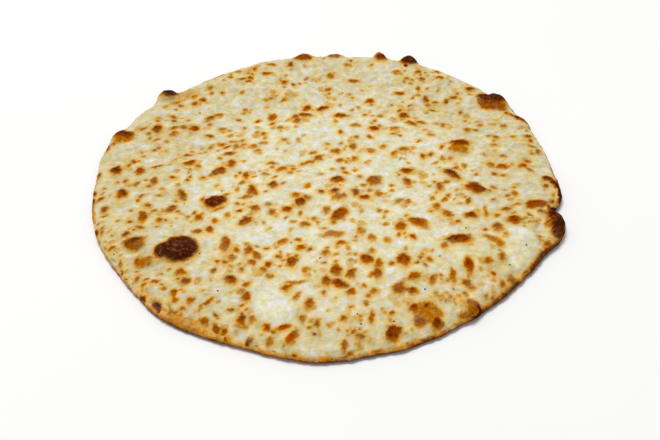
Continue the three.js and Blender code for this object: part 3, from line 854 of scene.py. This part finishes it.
def crowd(form, place):
    """How likely a small dark spot is at a place: more so in drifts and on the near side."""
    drift = noise.noise(Vector((*place, 0)) / CROWD_SIZE)
    return CROWD_MEAN + CROWD_SWING * drift - CROWD_NEAR * place[1] / form.radius


def small_spots(form, settings, taken):
    """More spots by a seeded rule: the darker ones clear of the others, the faint ones beside one."""
    draw = np.random.default_rng(settings.cheese.seed)
    places = [spot.middle[:2] for spot in taken]
    clear = [max(spot.half_length, spot.half_width) for spot in taken]
    smooth = list(as_seen(form, TONGUES))
    made = []
    while len(made) < settings.cheese.small_spots:
        faint = draw.uniform(0, 1) < FAINT_SHARE
        size = draw.uniform(*FAINT_SIZE) if faint else SMALL_SIZE + SMALL_GROWTH * draw.uniform(0, 1) ** 2
        tone = draw.uniform(*(FAINT_TONE if faint else SMALL_TONE))
        reach = size * draw.uniform(*SMALL_STRETCH)
        lean = draw.uniform(0, math.pi)
        angle = draw.uniform(0, math.tau)
        heading = np.array((math.cos(angle), math.sin(angle)))
        host = draw.integers(len(places))
        if faint:
            place = places[host] + heading * (clear[host] + size * draw.uniform(*FAINT_AWAY))
        else:
            place = heading * form.radius * math.sqrt(draw.uniform(0, 1))
            if draw.uniform(0, 1) < HOSTED_SHARE:
                place = places[host] + heading * (clear[host] + reach + draw.uniform(*HOSTED_AWAY))
            gaps = np.linalg.norm(np.array(places) - place, axis=1) - np.array(clear) - reach
            if gaps.min() < SPOT_GAP or draw.uniform(0, 1) > crowd(form, place):
                continue
        if np.linalg.norm(place) > form.radius - EDGE_ROOM:
            continue
        middle = np.array((place[0], place[1], form.height_over(*place)))
        if min(share_from(tongue, middle) for tongue in smooth) < TONGUE_CLEAR:
            continue
        places.append(place)
        clear.append(reach)
        along = np.array((math.cos(lean), math.sin(lean), 0))
        across = np.array((-math.sin(lean), math.cos(lean), 0))
        made.append(Placed(middle, along, across, reach, size, tone, True))
    return made


def all_spots(form, settings):
    shown = list(as_seen(form, PHOTO_SPOTS))
    return list(ragged(shown)) + small_spots(form, settings, shown)


def faded(past, fade, reach):
    """Share of a spot's tone at a distance past its outline, down to none where its glow ends."""
    places, shares = zip(*fade)
    glow = shares[-1] * np.clip((reach - past) / (reach - places[-1]), 0, 1)
    return np.where(past > places[-1], glow, np.interp(past, places, shares))


def brown(points, spots):
    """How browned each point is, and how far the blister under it rises, as a share of its height."""
    warped = points.copy()
    for axis, waver in enumerate(WAVERS):
        warped[:, axis] += lumpy(points, waver)
    tone = np.zeros(len(points))
    lift = np.zeros(len(points))
    for spot in spots:
        room = SEARCH_REACH * max(spot.half_length, spot.half_width) + SEARCH_ROOM
        near = np.nonzero(np.abs(warped - spot.middle).max(axis=1) < room)[0]
        local = warped[near] - spot.middle
        a = local @ spot.along / spot.half_length
        b = local @ spot.across / spot.half_width
        off = np.hypot(a, b)
        scorched = spot.tone > CRISP_TONE
        facing = np.clip(-b / np.maximum(off, LEAST_SHARE), -1, 1) * (not spot.plan)
        past = (off - 1) * math.sqrt(spot.half_length * spot.half_width) * (1 - FAR_CRISP * facing)
        fade = faded(past, CRISP_FADE if scorched else SOFT_FADE, GLOW_REACH + NEAR_REACH * facing)
        # Painted shade and browning: the far side of a spot placed from the view is darker.
        far_browning_and_shade = 1 + FAR_BROWNING_AND_SHADE * (np.clip(b, -1, 1) - FAR_BALANCE) * (not spot.plan and not scorched)
        tone[near] = np.maximum(tone[near], spot.tone * fade * far_browning_and_shade)
        fullness = min(1, min(spot.half_length, spot.half_width) / FULL_BLISTER)
        rise = np.clip(1 - off * off, 0, 1) * fullness
        lift[near] = np.maximum(lift[near], rise * spot.tone)
    return np.clip(tone, 0, 1), lift


def far_sides(form, points):
    """Browning of the bubbles' sides that the photo doesn't show, as dark as what it shows of them."""
    forward = view_axes()[2]
    away = np.array(Vector((forward.x, forward.y, 0)).normalized())
    uneven = FAR_TONE + lumpy(points, FAR_PATCHES)
    tone = np.zeros(len(points))
    for bubble in EDGE_BUBBLES:
        _, local, depth = form.from_bubble(bubble, points)
        skin = 1 - smooth_step(*BUBBLE_SKIN, depth)
        behind = smooth_step(*FAR_START, local @ away)
        tone = np.maximum(tone, bubble.scorch * skin * behind * uneven)
    return np.clip(tone, 0, 1)


def wet(form, points):
    """How smooth and melted the cheese is at each point, and how far its tongues lift it."""
    radius = np.hypot(points[:, 0], points[:, 1] - POOL_MIDDLE) + lumpy(points, POOL_WAVER)
    wetness = 1 - smooth_step(*POOL_RADIUS, radius)
    lift = np.zeros(len(points))
    for tongue in as_seen(form, TONGUES):
        off = share_from(tongue, points)
        wetness = np.maximum(wetness, 1 - smooth_step(*TONGUE_WET, off))
        lift = np.maximum(lift, TONGUE_LIFT * (1 - smooth_step(*TONGUE_RISE, off)))
    return wetness, lift


def edge_toast(points, angle, inset):
    """How browned the edge is: darkest low down, where toast and painted shadow under the edge are laid
    together, at its brink and along its toasted stretches.
    """
    zone = hills(TOASTED_EDGE, angle) + lumpy(points, TOAST_PATCHES)
    # Painted shadow: the foot of the edge is darkened as well as toasted.
    low = 1 - smooth_step(*LOW_LEVEL, points[:, 2])
    nose = 1 - smooth_step(*NOSE_LEVEL, points[:, 2])
    brink = 1 - smooth_step(*BRINK, inset)
    toasted = LOW_TOAST_AND_SHADE * low + NOSE_TOAST * nose
    toasted += zone * (ZONE_ALL_OVER + ZONE_AT_BRINK * np.maximum(nose, brink))
    return np.minimum(toasted + hills(GOLDEN_EDGE, angle), EDGE_DARKEST)


def toast(form, settings, points, angle, inset, on_top):
    """How browned the dough is, with the spots that lie on it and its toasted underside."""
    spots, _ = brown(points, all_spots(form, settings))
    edge = edge_toast(points, angle, inset)
    shown = np.maximum.reduce((edge, spots, far_sides(form, points)))
    below = UNDER_TOAST + lumpy(points, UNDER_PATCHES)
    return np.clip(np.where(on_top | (inset < NOSE_DEPTH), shown, below), 0, 1)


# Mesh helpers


def finish_piece(bm, name, material, attributes=None):
    """Makes the bmesh an object at true size, with its values per point and its material."""
    bmesh.ops.scale(bm, vec=(MM, MM, MM), verts=bm.verts)
    mesh = bpy.data.meshes.new(name)
    bm.to_mesh(mesh)
    bm.free()
    mesh.shade_smooth()
    for key, values in (attributes or {}).items():
        layer = mesh.attributes.new(key, "FLOAT", "POINT")
        layer.data.foreach_set("value", np.asarray(values, dtype=np.float32))
    mesh.materials.append(material)
    piece = bpy.data.objects.new(name, mesh)
    bpy.context.scene.collection.objects.link(piece)
    return piece


def positions(bm):
    return np.array([vert.co for vert in bm.verts], dtype=float)


def move_to(bm, points):
    for vert, point in zip(bm.verts, points):
        vert.co = point


# Materials


class Wire:
    """A socket to write arithmetic on: each operation adds a Math node."""

    def __init__(self, tree, socket=None):
        self.tree = tree
        self.socket = socket

    def node(self, kind, settings=None, inputs=None, output=0):
        made = self.tree.nodes.new(kind)
        for key, value in (settings or {}).items():
            if key == "stops":
                set_stops(made.color_ramp, value)
            else:
                setattr(made, key, value)
        for key, value in (inputs or {}).items():
            if isinstance(value, Wire):
                self.tree.links.new(value.socket, made.inputs[key])
            else:
                made.inputs[key].default_value = value
        return Wire(self.tree, made.outputs[output])

    def math(self, operation, *values):
        return self.node("ShaderNodeMath", {"operation": operation}, dict(enumerate(values)))

    def __add__(self, other):
        return self.math("ADD", self, other)

    __radd__ = __add__

    def __sub__(self, other):
        return self.math("SUBTRACT", self, other)

    def __rsub__(self, other):
        return self.math("SUBTRACT", other, self)

    def __mul__(self, other):
        return self.math("MULTIPLY", self, other)

    __rmul__ = __mul__

    def between(self, start, end):
        """0 below start, 1 above end, smooth between."""
        settings = {"interpolation_type": "SMOOTHSTEP"}
        inputs = {"Value": self, "From Min": start, "From Max": end}
        return self.node("ShaderNodeMapRange", settings, inputs)

    def noise(self, size, detail, rough):
        """Noise on Object coordinates, about 0 to 1, with lumps of that size in millimetres."""
        place = self.node("ShaderNodeTexCoord", output="Object")
        inputs = {"Vector": place, "Scale": 1 / (size * MM), "Detail": detail, "Roughness": rough}
        return self.node("ShaderNodeTexNoise", inputs=inputs, output="Fac")

    def mix(self, factor, first, second):
        inputs = {0: factor, 6: first, 7: second}
        return self.node("ShaderNodeMix", {"data_type": "RGBA"}, inputs, output=2)

    def ramp(self, stops, factor):
        return self.node("ShaderNodeValToRGB", {"stops": stops}, {"Fac": factor}, "Color")

    def attribute(self, name):
        return self.node("ShaderNodeAttribute", {"attribute_name": name}, output="Fac")


def set_stops(ramp, stops):
    while len(ramp.elements) < len(stops):
        ramp.elements.new(1)
    for element, (place, shade) in zip(ramp.elements, stops):
        element.position = place
        element.color = (*shade, 1)


def new_material(name):
    material = bpy.data.materials.new(name)
    material.use_nodes = True
    tree = material.node_tree
    tree.nodes.clear()
    shader = tree.nodes.new("ShaderNodeBsdfPrincipled")
    output = tree.nodes.new("ShaderNodeOutputMaterial")
    tree.links.new(shader.outputs["BSDF"], output.inputs["Surface"])
    return material, Wire(tree), shader


def feed(wire, shader, **values):
    """Sets or links the shader's sockets; an underscore stands for a space in a socket's name."""
    for key, value in values.items():
        socket = shader.inputs[key.replace("_", " ")]
        if isinstance(value, Wire):
            wire.tree.links.new(value.socket, socket)
        else:
            socket.default_value = value


def opaque(shade):
    return (*shade, 1)


def baked_surface(wire, cheese, stops, wetness):
    """Colour, with painted shade of its lumps and creases, and relief that cheese and dough share, so that
    one runs into the other.
    """
    noises = {kind: wire.noise(*kind) for kind in SHARED_PATCHES}
    swirl = noises[SWIRL] - 0.5
    dry = 1 - wetness

    def swung(weights):
        parts = [(noises[kind] - 0.5) * weight for kind, weight in weights.items()]
        return sum(parts[1:], parts[0])

    plain = [(0, cheese.ivory), (0.5, cheese.cream), (1, cheese.straw)]
    base = wire.ramp(plain, TINT - wetness * WET_TINT - swung(TINT_SWING))
    browned = wire.attribute("browning")
    calm = 1 - browned.between(*FIRM_FROM) * FIRM_CALM
    uneven = browned + swung(BROWN_SWING) * browned.between(*UNEVEN_FROM) * calm
    skin = livelier(wire, wire.ramp(stops, uneven))
    shown = wire.mix(uneven.between(*SKIN_FROM), base, skin)
    for kind, first, second in DRIFTS:
        drift = wire.mix(wire.noise(*kind).between(*DRIFT_RANGE), opaque(first), opaque(second))
        shown = wire.node("ShaderNodeVectorMath", {"operation": "MULTIPLY"}, {0: shown, 1: drift})
    # Painted shade: darker in the hollows of the swirl and crease patches, brighter on the wet middle.
    shade = SHADE + wetness * WET_SHADE + swirl * (SWIRL_SHADE + dry * DRY_SWIRL_SHADE) + swung(SHADE_SWING)
    shown = wire.node("ShaderNodeVectorMath", {"operation": "SCALE"}, {0: shown, "Scale": shade})
    relief = swung(RELIEF_SWING) + uneven * BROWN_RELIEF + noises[SWIRL] * dry * SWIRL_RELIEF
    return shown, relief, noises[MOTTLE]


def livelier(wire, skin):
    """Browned skin, brighter and redder in some places than in others."""
    lively = wire.noise(*LIVELY)
    inputs = {
        "Color": skin,
        "Hue": 0.5 - (lively - 0.5) * LIVELY_HUE,
        "Saturation": DULLEST + lively.between(*LIVELY_RANGE) * LIVELY_SATURATION,
        "Value": LIVELY_VALUE + (lively - 0.5) * VALUE_SWING,
    }
    return wire.node("ShaderNodeHueSaturation", inputs=inputs, output="Color")


def bump(wire, relief, strength, depth):
    inputs = {"Strength": strength, "Distance": depth * MM, "Height": relief}
    return wire.node("ShaderNodeBump", inputs=inputs)


def cheese_material(cheese):
    """Ivory melted cheese, creamier where it is dry, with spots browned from gold to black."""
    material, wire, shader = new_material("melted_cheese")
    wetness = wire.attribute("wetness")
    stops = [
        (0.06, cheese.glow),
        (0.16, cheese.yellow),
        (0.3, cheese.gold),
        (0.46, cheese.orange),
        (0.64, cheese.brown),
        (0.82, cheese.dark),
        (0.96, cheese.burnt),
    ]
    shown, relief, mottle = baked_surface(wire, cheese, stops, wetness)
    char = wire.attribute("browning").between(*CHAR_FROM)
    crackled = wire.noise(*CRACKLE).between(*CRACKLE_RANGE) * char
    shown = wire.mix(crackled * CRACKLE_COLOUR, shown, opaque(cheese.crackle))
    normal = bump(wire, relief + crackled * CRACKLE_RELIEF, *BAKED_BUMP)
    roughness = CHEESE_ROUGHNESS - wetness * WET_SMOOTHNESS + (mottle - 0.5) * ROUGHNESS_SWING
    feed(wire, shader, Base_Color=shown, Roughness=roughness, Normal=normal, Specular_IOR_Level=0)
    return material


def dough_material(dough, cheese):
    """Baked dough, creamy like the cheese beside it where least baked, and burnt on its bubbles."""
    material, wire, shader = new_material("baked_dough")
    stops = [
        (0.08, dough.pale),
        (0.25, dough.tan),
        (0.42, dough.golden),
        (0.68, dough.brown),
        (0.95, dough.burnt),
    ]
    shown, relief, mottle = baked_surface(wire, cheese, stops, 0)
    normal = bump(wire, relief, *BAKED_BUMP)
    roughness = DOUGH_ROUGHNESS + (mottle - 0.5) * ROUGHNESS_SWING
    feed(wire, shader, Base_Color=shown, Roughness=roughness, Normal=normal, Specular_IOR_Level=0)
    return material


def speck_material(name, first, second):
    material, wire, shader = new_material(name)
    shade = wire.mix(wire.noise(*SPECK), opaque(first), opaque(second))
    normal = bump(wire, wire.noise(*SPECK_RELIEF), *SPECK_BUMP)
    feed(wire, shader, Base_Color=shade, Roughness=SPECK_ROUGHNESS, Normal=normal)
    return material


def floor_material(stage):
    material, wire, shader = new_material("floor")
    shade = wire.mix(wire.noise(*FLOOR_PATCHES), opaque(stage.floor), opaque(stage.floor_shade))
    feed(wire, shader, Base_Color=shade, Roughness=FLOOR_ROUGHNESS, Specular_IOR_Level=FLOOR_GLOSS)
    return material


# Pieces


class PIZZA_OT_crust(bpy.types.Operator):
    """Bakes the dough: a round with a puffed rim and bubbles along its edge"""

    bl_idname = "pizza.bake_crust"
    bl_label = "Bake crust"

    def execute(self, context):
        settings = context.scene.pizza
        form = Form(settings)
        bm = bmesh.new()
        spin_profile(bm, crust_profile(form))
        flat = positions(bm)
        angle = np.arctan2(flat[:, 1], flat[:, 0])
        inset = form.radius - np.hypot(flat[:, 0], flat[:, 1])
        on_top = flat[:, 2] >= NOSE_HEIGHT - MERGE_DISTANCE
        points = form.dough_points(angle, np.maximum(inset, 0))
        sides = side_points(form, angle, inset, flat[:, 2])
        points[~on_top] = sides[~on_top]
        under_cheese = inset - form.dough_reach(angle) + form.cheese_reach(angle)
        bare = 1 - smooth_step(0, CRAG_FADE, under_cheese)
        clear = smooth_step(0, CRAG_FOOT, points[:, 2])
        points = roughen(points, angle, settings.dough.crag / MM * bare * clear)
        move_to(bm, points)
        bmesh.ops.recalc_face_normals(bm, faces=bm.faces)
        browning = toast(form, settings, points, angle, inset, on_top)
        material = dough_material(settings.dough, settings.cheese)
        piece = finish_piece(bm, CRUST_PIECE, material, {"browning": browning})
        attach(piece, BODY)
        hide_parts("crust")
        return {"FINISHED"}


def crust_profile(form):
    """Half a section through the dough: from the middle of its top, over the edge, to the middle below."""
    top = [(form.radius, form.bed)]
    top += [(inset, form.bed) for inset in COVERED_INSETS + BARE_INSETS]
    under = []
    for level in UNDER_SHARES:
        inset = NOSE_DEPTH * (1 - math.sqrt(1 - (1 - level) ** 2))
        under.append((inset, level * NOSE_HEIGHT))
    base = [(inset, 0) for inset in BASE_INSETS + [form.radius]]
    return [Vector((form.radius - inset, 0, level)) for inset, level in top + under + base]


def spin_profile(bm, profile):
    verts = [bm.verts.new(place) for place in profile]
    edges = [bm.edges.new(pair) for pair in zip(verts, verts[1:])]
    turn = {"cent": (0, 0, 0), "axis": (0, 0, 1), "angle": math.tau, "steps": CRUST_STEPS}
    bmesh.ops.spin(bm, geom=verts + edges, use_merge=True, **turn)
    bmesh.ops.remove_doubles(bm, verts=bm.verts, dist=MERGE_DISTANCE)


def side_points(form, angle, inset, level):
    """The underside and the edge below its widest line."""
    scale = np.where(inset > NOSE_DEPTH, form.dough_reach(angle) / form.radius, 1)
    plain = form.dough_reach(angle) - inset
    radius = np.where(inset > NOSE_DEPTH, (form.radius - inset) * scale, plain)
    points = np.stack((radius * np.cos(angle), radius * np.sin(angle), level), axis=1)
    puffed = form.inflate(points)
    rising = smooth_step(0, NOSE_HEIGHT, level)[:, None]
    return points * (1 - rising) + np.stack((puffed[:, 0], puffed[:, 1], level), axis=1) * rising


def roughen(points, angle, height):
    """Crags on the bare edge, outwards and up."""
    push = height * lumpy(points, CRAGS)
    out = np.stack((np.cos(angle), np.sin(angle), np.full_like(angle, CRAG_UPWARD)), axis=1)
    return points + out * push[:, None]


class PIZZA_OT_cheese(bpy.types.Operator):
    """Melts the cheese over the dough, with its blisters and browned spots"""

    bl_idname = "pizza.melt_cheese"
    bl_label = "Melt cheese"

    def execute(self, context):
        settings = context.scene.pizza
        form = Form(settings)
        bm = bmesh.new()
        ring = cheese_sheet(bm)
        angle, out = round_the_grid(positions(bm))
        radius = out * form.lip_reach(angle)
        from_lip = (1 - out) * form.lip_reach(angle)
        points = sheet_points(form, ring, angle, radius, from_lip)
        browning, blister = brown(points, all_spots(form, settings))
        edge = np.clip(edge_toast(points, angle, form.dough_reach(angle) - radius), 0, 1)
        by_lip = 1 - smooth_step(*LIP_TOAST, from_lip)
        browning = np.maximum.reduce((browning, edge * by_lip, far_sides(form, points)))
        wetness, lift = wet(form, points)
        free = smooth_step(0, LIP_WIDTH, from_lip) * (ring == 0)
        points[:, 2] += free * (lift + blister * settings.cheese.blister / MM)
        lumps = lumpy(points, CHEESE_LUMPS) * (1 - WET_SMOOTHING * wetness)
        points[:, 2] += free * lumps * settings.cheese.lumps / MM
        move_to(bm, points)
        # The last ring closes to one point, so its other values at the end of the lists are left off.
        bmesh.ops.remove_doubles(bm, verts=bm.verts, dist=SHEET_MERGE)
        bmesh.ops.recalc_face_normals(bm, faces=bm.faces)
        values = {"browning": browning[: len(bm.verts)], "wetness": wetness[: len(bm.verts)]}
        piece = finish_piece(bm, CHEESE_PIECE, cheese_material(settings.cheese), values)
        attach(piece, BODY)
        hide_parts("cheese")
        return {"FINISHED"}


def cheese_sheet(bm):
    """A square sheet with its border folded under in rings; gives each vertex's ring, 0 on top."""
    bmesh.ops.create_grid(bm, x_segments=CHEESE_SEGMENTS, y_segments=CHEESE_SEGMENTS, size=1)
    border = [edge for edge in bm.edges if edge.is_boundary]
    counts = [len(bm.verts)]
    for _ in range(len(UNDER_STEPS) + 1):
        made = bmesh.ops.extrude_edge_only(bm, edges=border)["geom"]
        border = [part for part in made if isinstance(part, bmesh.types.BMEdge) and part.is_boundary]
        counts.append(len(bm.verts) - sum(counts))
    return np.repeat(np.arange(len(counts)), counts)


def round_the_grid(flat):
    """Angle and share of the reach for places on a square from -1 to 1, evenly spread over a disc."""
    a = flat[:, 0]
    b = flat[:, 1]
    out = np.maximum(np.abs(a), np.abs(b))
    safe = np.where(out == 0, 1, out)
    wide = np.abs(a) >= np.abs(b)
    slant = np.where(wide, b, a) / safe * (math.pi / 4)
    angle = np.where(wide, slant, math.pi / 2 - slant)
    behind = np.where(wide, a < 0, b < 0)
    turned = np.where(wide, math.pi - slant, slant - math.pi / 2)
    return np.where(behind, turned, angle), out


def sheet_points(form, ring, angle, radius, from_lip):
    """The sheet's places: its top, with a lip sunk into the dough, and the rings under it."""
    points = np.zeros((len(angle), 3))
    top = ring == 0
    points[top] = form.cheese_points(angle[top], radius[top])
    sink = EDGE_CHEESE + LAYER_GAP + LIP_SINK
    points[top, 2] -= sink * (1 - smooth_step(0, LIP_TAPER, from_lip))[top]
    lip_inset = form.dough_reach(angle) - form.lip_reach(angle)
    for number, step in enumerate(UNDER_STEPS, start=1):
        under = ring == number
        points[under] = form.dough_points(angle[under], (lip_inset + step)[under])
        points[under, 2] -= 2 * LIP_SINK
    points[ring > len(UNDER_STEPS)] = (0, 0, form.bed + LAYER_GAP)
    return points


def landing(column, row):
    """Where the photo's ray at a column and row meets the finished crust and cheese, in millimetres."""
    ray = sight_ray(column, row).normalized()
    found = []
    for name in (CRUST_PIECE, CHEESE_PIECE):
        hit, place, _, _ = bpy.data.objects[name].ray_cast(EYE * MM, ray)
        if hit:
            found.append(place / MM)
    if not found:
        raise RuntimeError(f"no pizza at column {column}, row {row}")
    return min(found, key=lambda place: (place - EYE).length)


def scatter(places, size, seed):
    """Small uneven grains that lie on the pizza at places of the photo, half sunk in."""
    bpy.context.view_layer.update()
    draw = np.random.default_rng(seed)
    bm = bmesh.new()
    for grain in places:
        middle = landing(grain.column, grain.row)
        made = bmesh.ops.create_icosphere(bm, subdivisions=2, radius=size / 2)["verts"]
        shares = [draw.uniform(*share) for share in GRAIN_STRETCH]
        turn = Matrix.Rotation(draw.uniform(0, math.tau), 4, "Z")
        for vert in made:
            vert.co *= 1 + draw.uniform(-GRAIN_ROUGHNESS, GRAIN_ROUGHNESS)
        shape = Matrix.Translation(middle) @ turn @ Matrix.Diagonal((*shares, 1))
        bmesh.ops.transform(bm, matrix=shape, verts=made)
    return bm


class PIZZA_OT_pepper(bpy.types.Operator):
    """Scatters ground pepper on the cheese"""

    bl_idname = "pizza.grind_pepper"
    bl_label = "Grind pepper"

    def execute(self, context):
        specks = context.scene.pizza.specks
        material = speck_material("ground_pepper", specks.pepper_dark, specks.pepper_light)
        grains = scatter(PEPPER, specks.pepper_size / MM, PEPPER_SEED)
        piece = finish_piece(grains, "pepper_ground", material)
        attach(piece, BODY)
        return {"FINISHED"}


class PIZZA_OT_crumbs(bpy.types.Operator):
    """Leaves crumbs on the near edge"""

    bl_idname = "pizza.leave_crumbs"
    bl_label = "Leave crumbs"

    def execute(self, context):
        specks = context.scene.pizza.specks
        material = speck_material("crumbs", specks.crumb_pale, specks.crumb_brown)
        grains = scatter(CRUMBS, specks.crumb_size / MM, CRUMB_SEED)
        piece = finish_piece(grains, "crumbs", material)
        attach(piece, BODY)
        return {"FINISHED"}


class PIZZA_OT_stage(bpy.types.Operator):
    """Sets the floor, the light and the camera"""

    bl_idname = "pizza.set_stage"
    bl_label = "Set stage"

    def execute(self, context):
        stage = context.scene.pizza.stage
        bm = bmesh.new()
        bmesh.ops.create_circle(bm, cap_ends=True, segments=FLOOR_SEGMENTS, radius=FLOOR_RADIUS)
        finish_piece(bm, "floor", floor_material(stage))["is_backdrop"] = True
        add_softbox("key_softbox", stage.key, KEY_PLACE, KEY_SIZE)
        set_ambient(context.scene, stage)
        add_camera(context.scene)
        context.scene.view_settings.view_transform = "Standard"
        return {"FINISHED"}


def add_softbox(name, power, place, size):
    light = bpy.data.lights.new(name, "AREA")
    light.energy = power
    light.shape = "DISK"
    light.size = size * MM
    lamp = bpy.data.objects.new(name, light)
    lamp.location = place * MM
    lamp.rotation_euler = place.to_track_quat("Z", "Y").to_euler()
    bpy.context.scene.collection.objects.link(lamp)


def set_ambient(scene, stage):
    world = bpy.data.worlds.new("studio")
    world.use_nodes = True
    background = world.node_tree.nodes["Background"]
    background.inputs["Color"].default_value = (1, 1, 1, 1)
    background.inputs["Strength"].default_value = stage.ambient
    scene.world = world


def add_camera(scene):
    right, up, forward = view_axes()
    data = bpy.data.cameras.new("camera")
    data.lens = LENS
    data.sensor_width = SENSOR
    data.sensor_fit = "HORIZONTAL"
    camera = bpy.data.objects.new("camera", data)
    turn = Matrix((right, up, -forward)).transposed().to_4x4()
    camera.matrix_world = Matrix.Translation(EYE * MM) @ turn
    scene.collection.objects.link(camera)
    scene.camera = camera


class PIZZA_PT_panel(bpy.types.Panel):
    """Lists the pieces and what can be changed"""

    bl_idname = "PIZZA_PT_panel"
    bl_label = "Cheese pizza"
    bl_space_type = "VIEW_3D"
    bl_region_type = "UI"
    bl_category = "Pizza"

    def draw(self, context):
        settings = context.scene.pizza
        for group in (settings.dough, settings.cheese, settings.specks, settings.stage):
            box = self.layout.box()
            for key in group.__annotations__:
                box.prop(group, key)
        for operator in OPERATORS:
            self.layout.operator(operator.bl_idname)


OPERATORS = [PIZZA_OT_crust, PIZZA_OT_cheese, PIZZA_OT_pepper, PIZZA_OT_crumbs, PIZZA_OT_stage]
SETTINGS = [DoughSettings, CheeseSettings, SpeckSettings, StageSettings, PizzaSettings]
CLASSES = [*SETTINGS, *OPERATORS, PIZZA_PT_panel]


def register():
    for made in CLASSES:
        bpy.utils.register_class(made)
    bpy.types.Scene.pizza = PointerProperty(type=PizzaSettings)


def unregister():
    del bpy.types.Scene.pizza
    for made in reversed(CLASSES):
        bpy.utils.unregister_class(made)


def main():
    register()
    bpy.ops.pizza.bake_crust()
    bpy.ops.pizza.melt_cheese()
    bpy.ops.pizza.grind_pepper()
    bpy.ops.pizza.leave_crumbs()
    bpy.ops.pizza.set_stage()
    boxes = {"cad": CAD_BOX, "visual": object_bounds()}
    plain = {key: [list(corner) for corner in corners] for key, corners in boxes.items()}


if __name__ == "__main__":
    main()
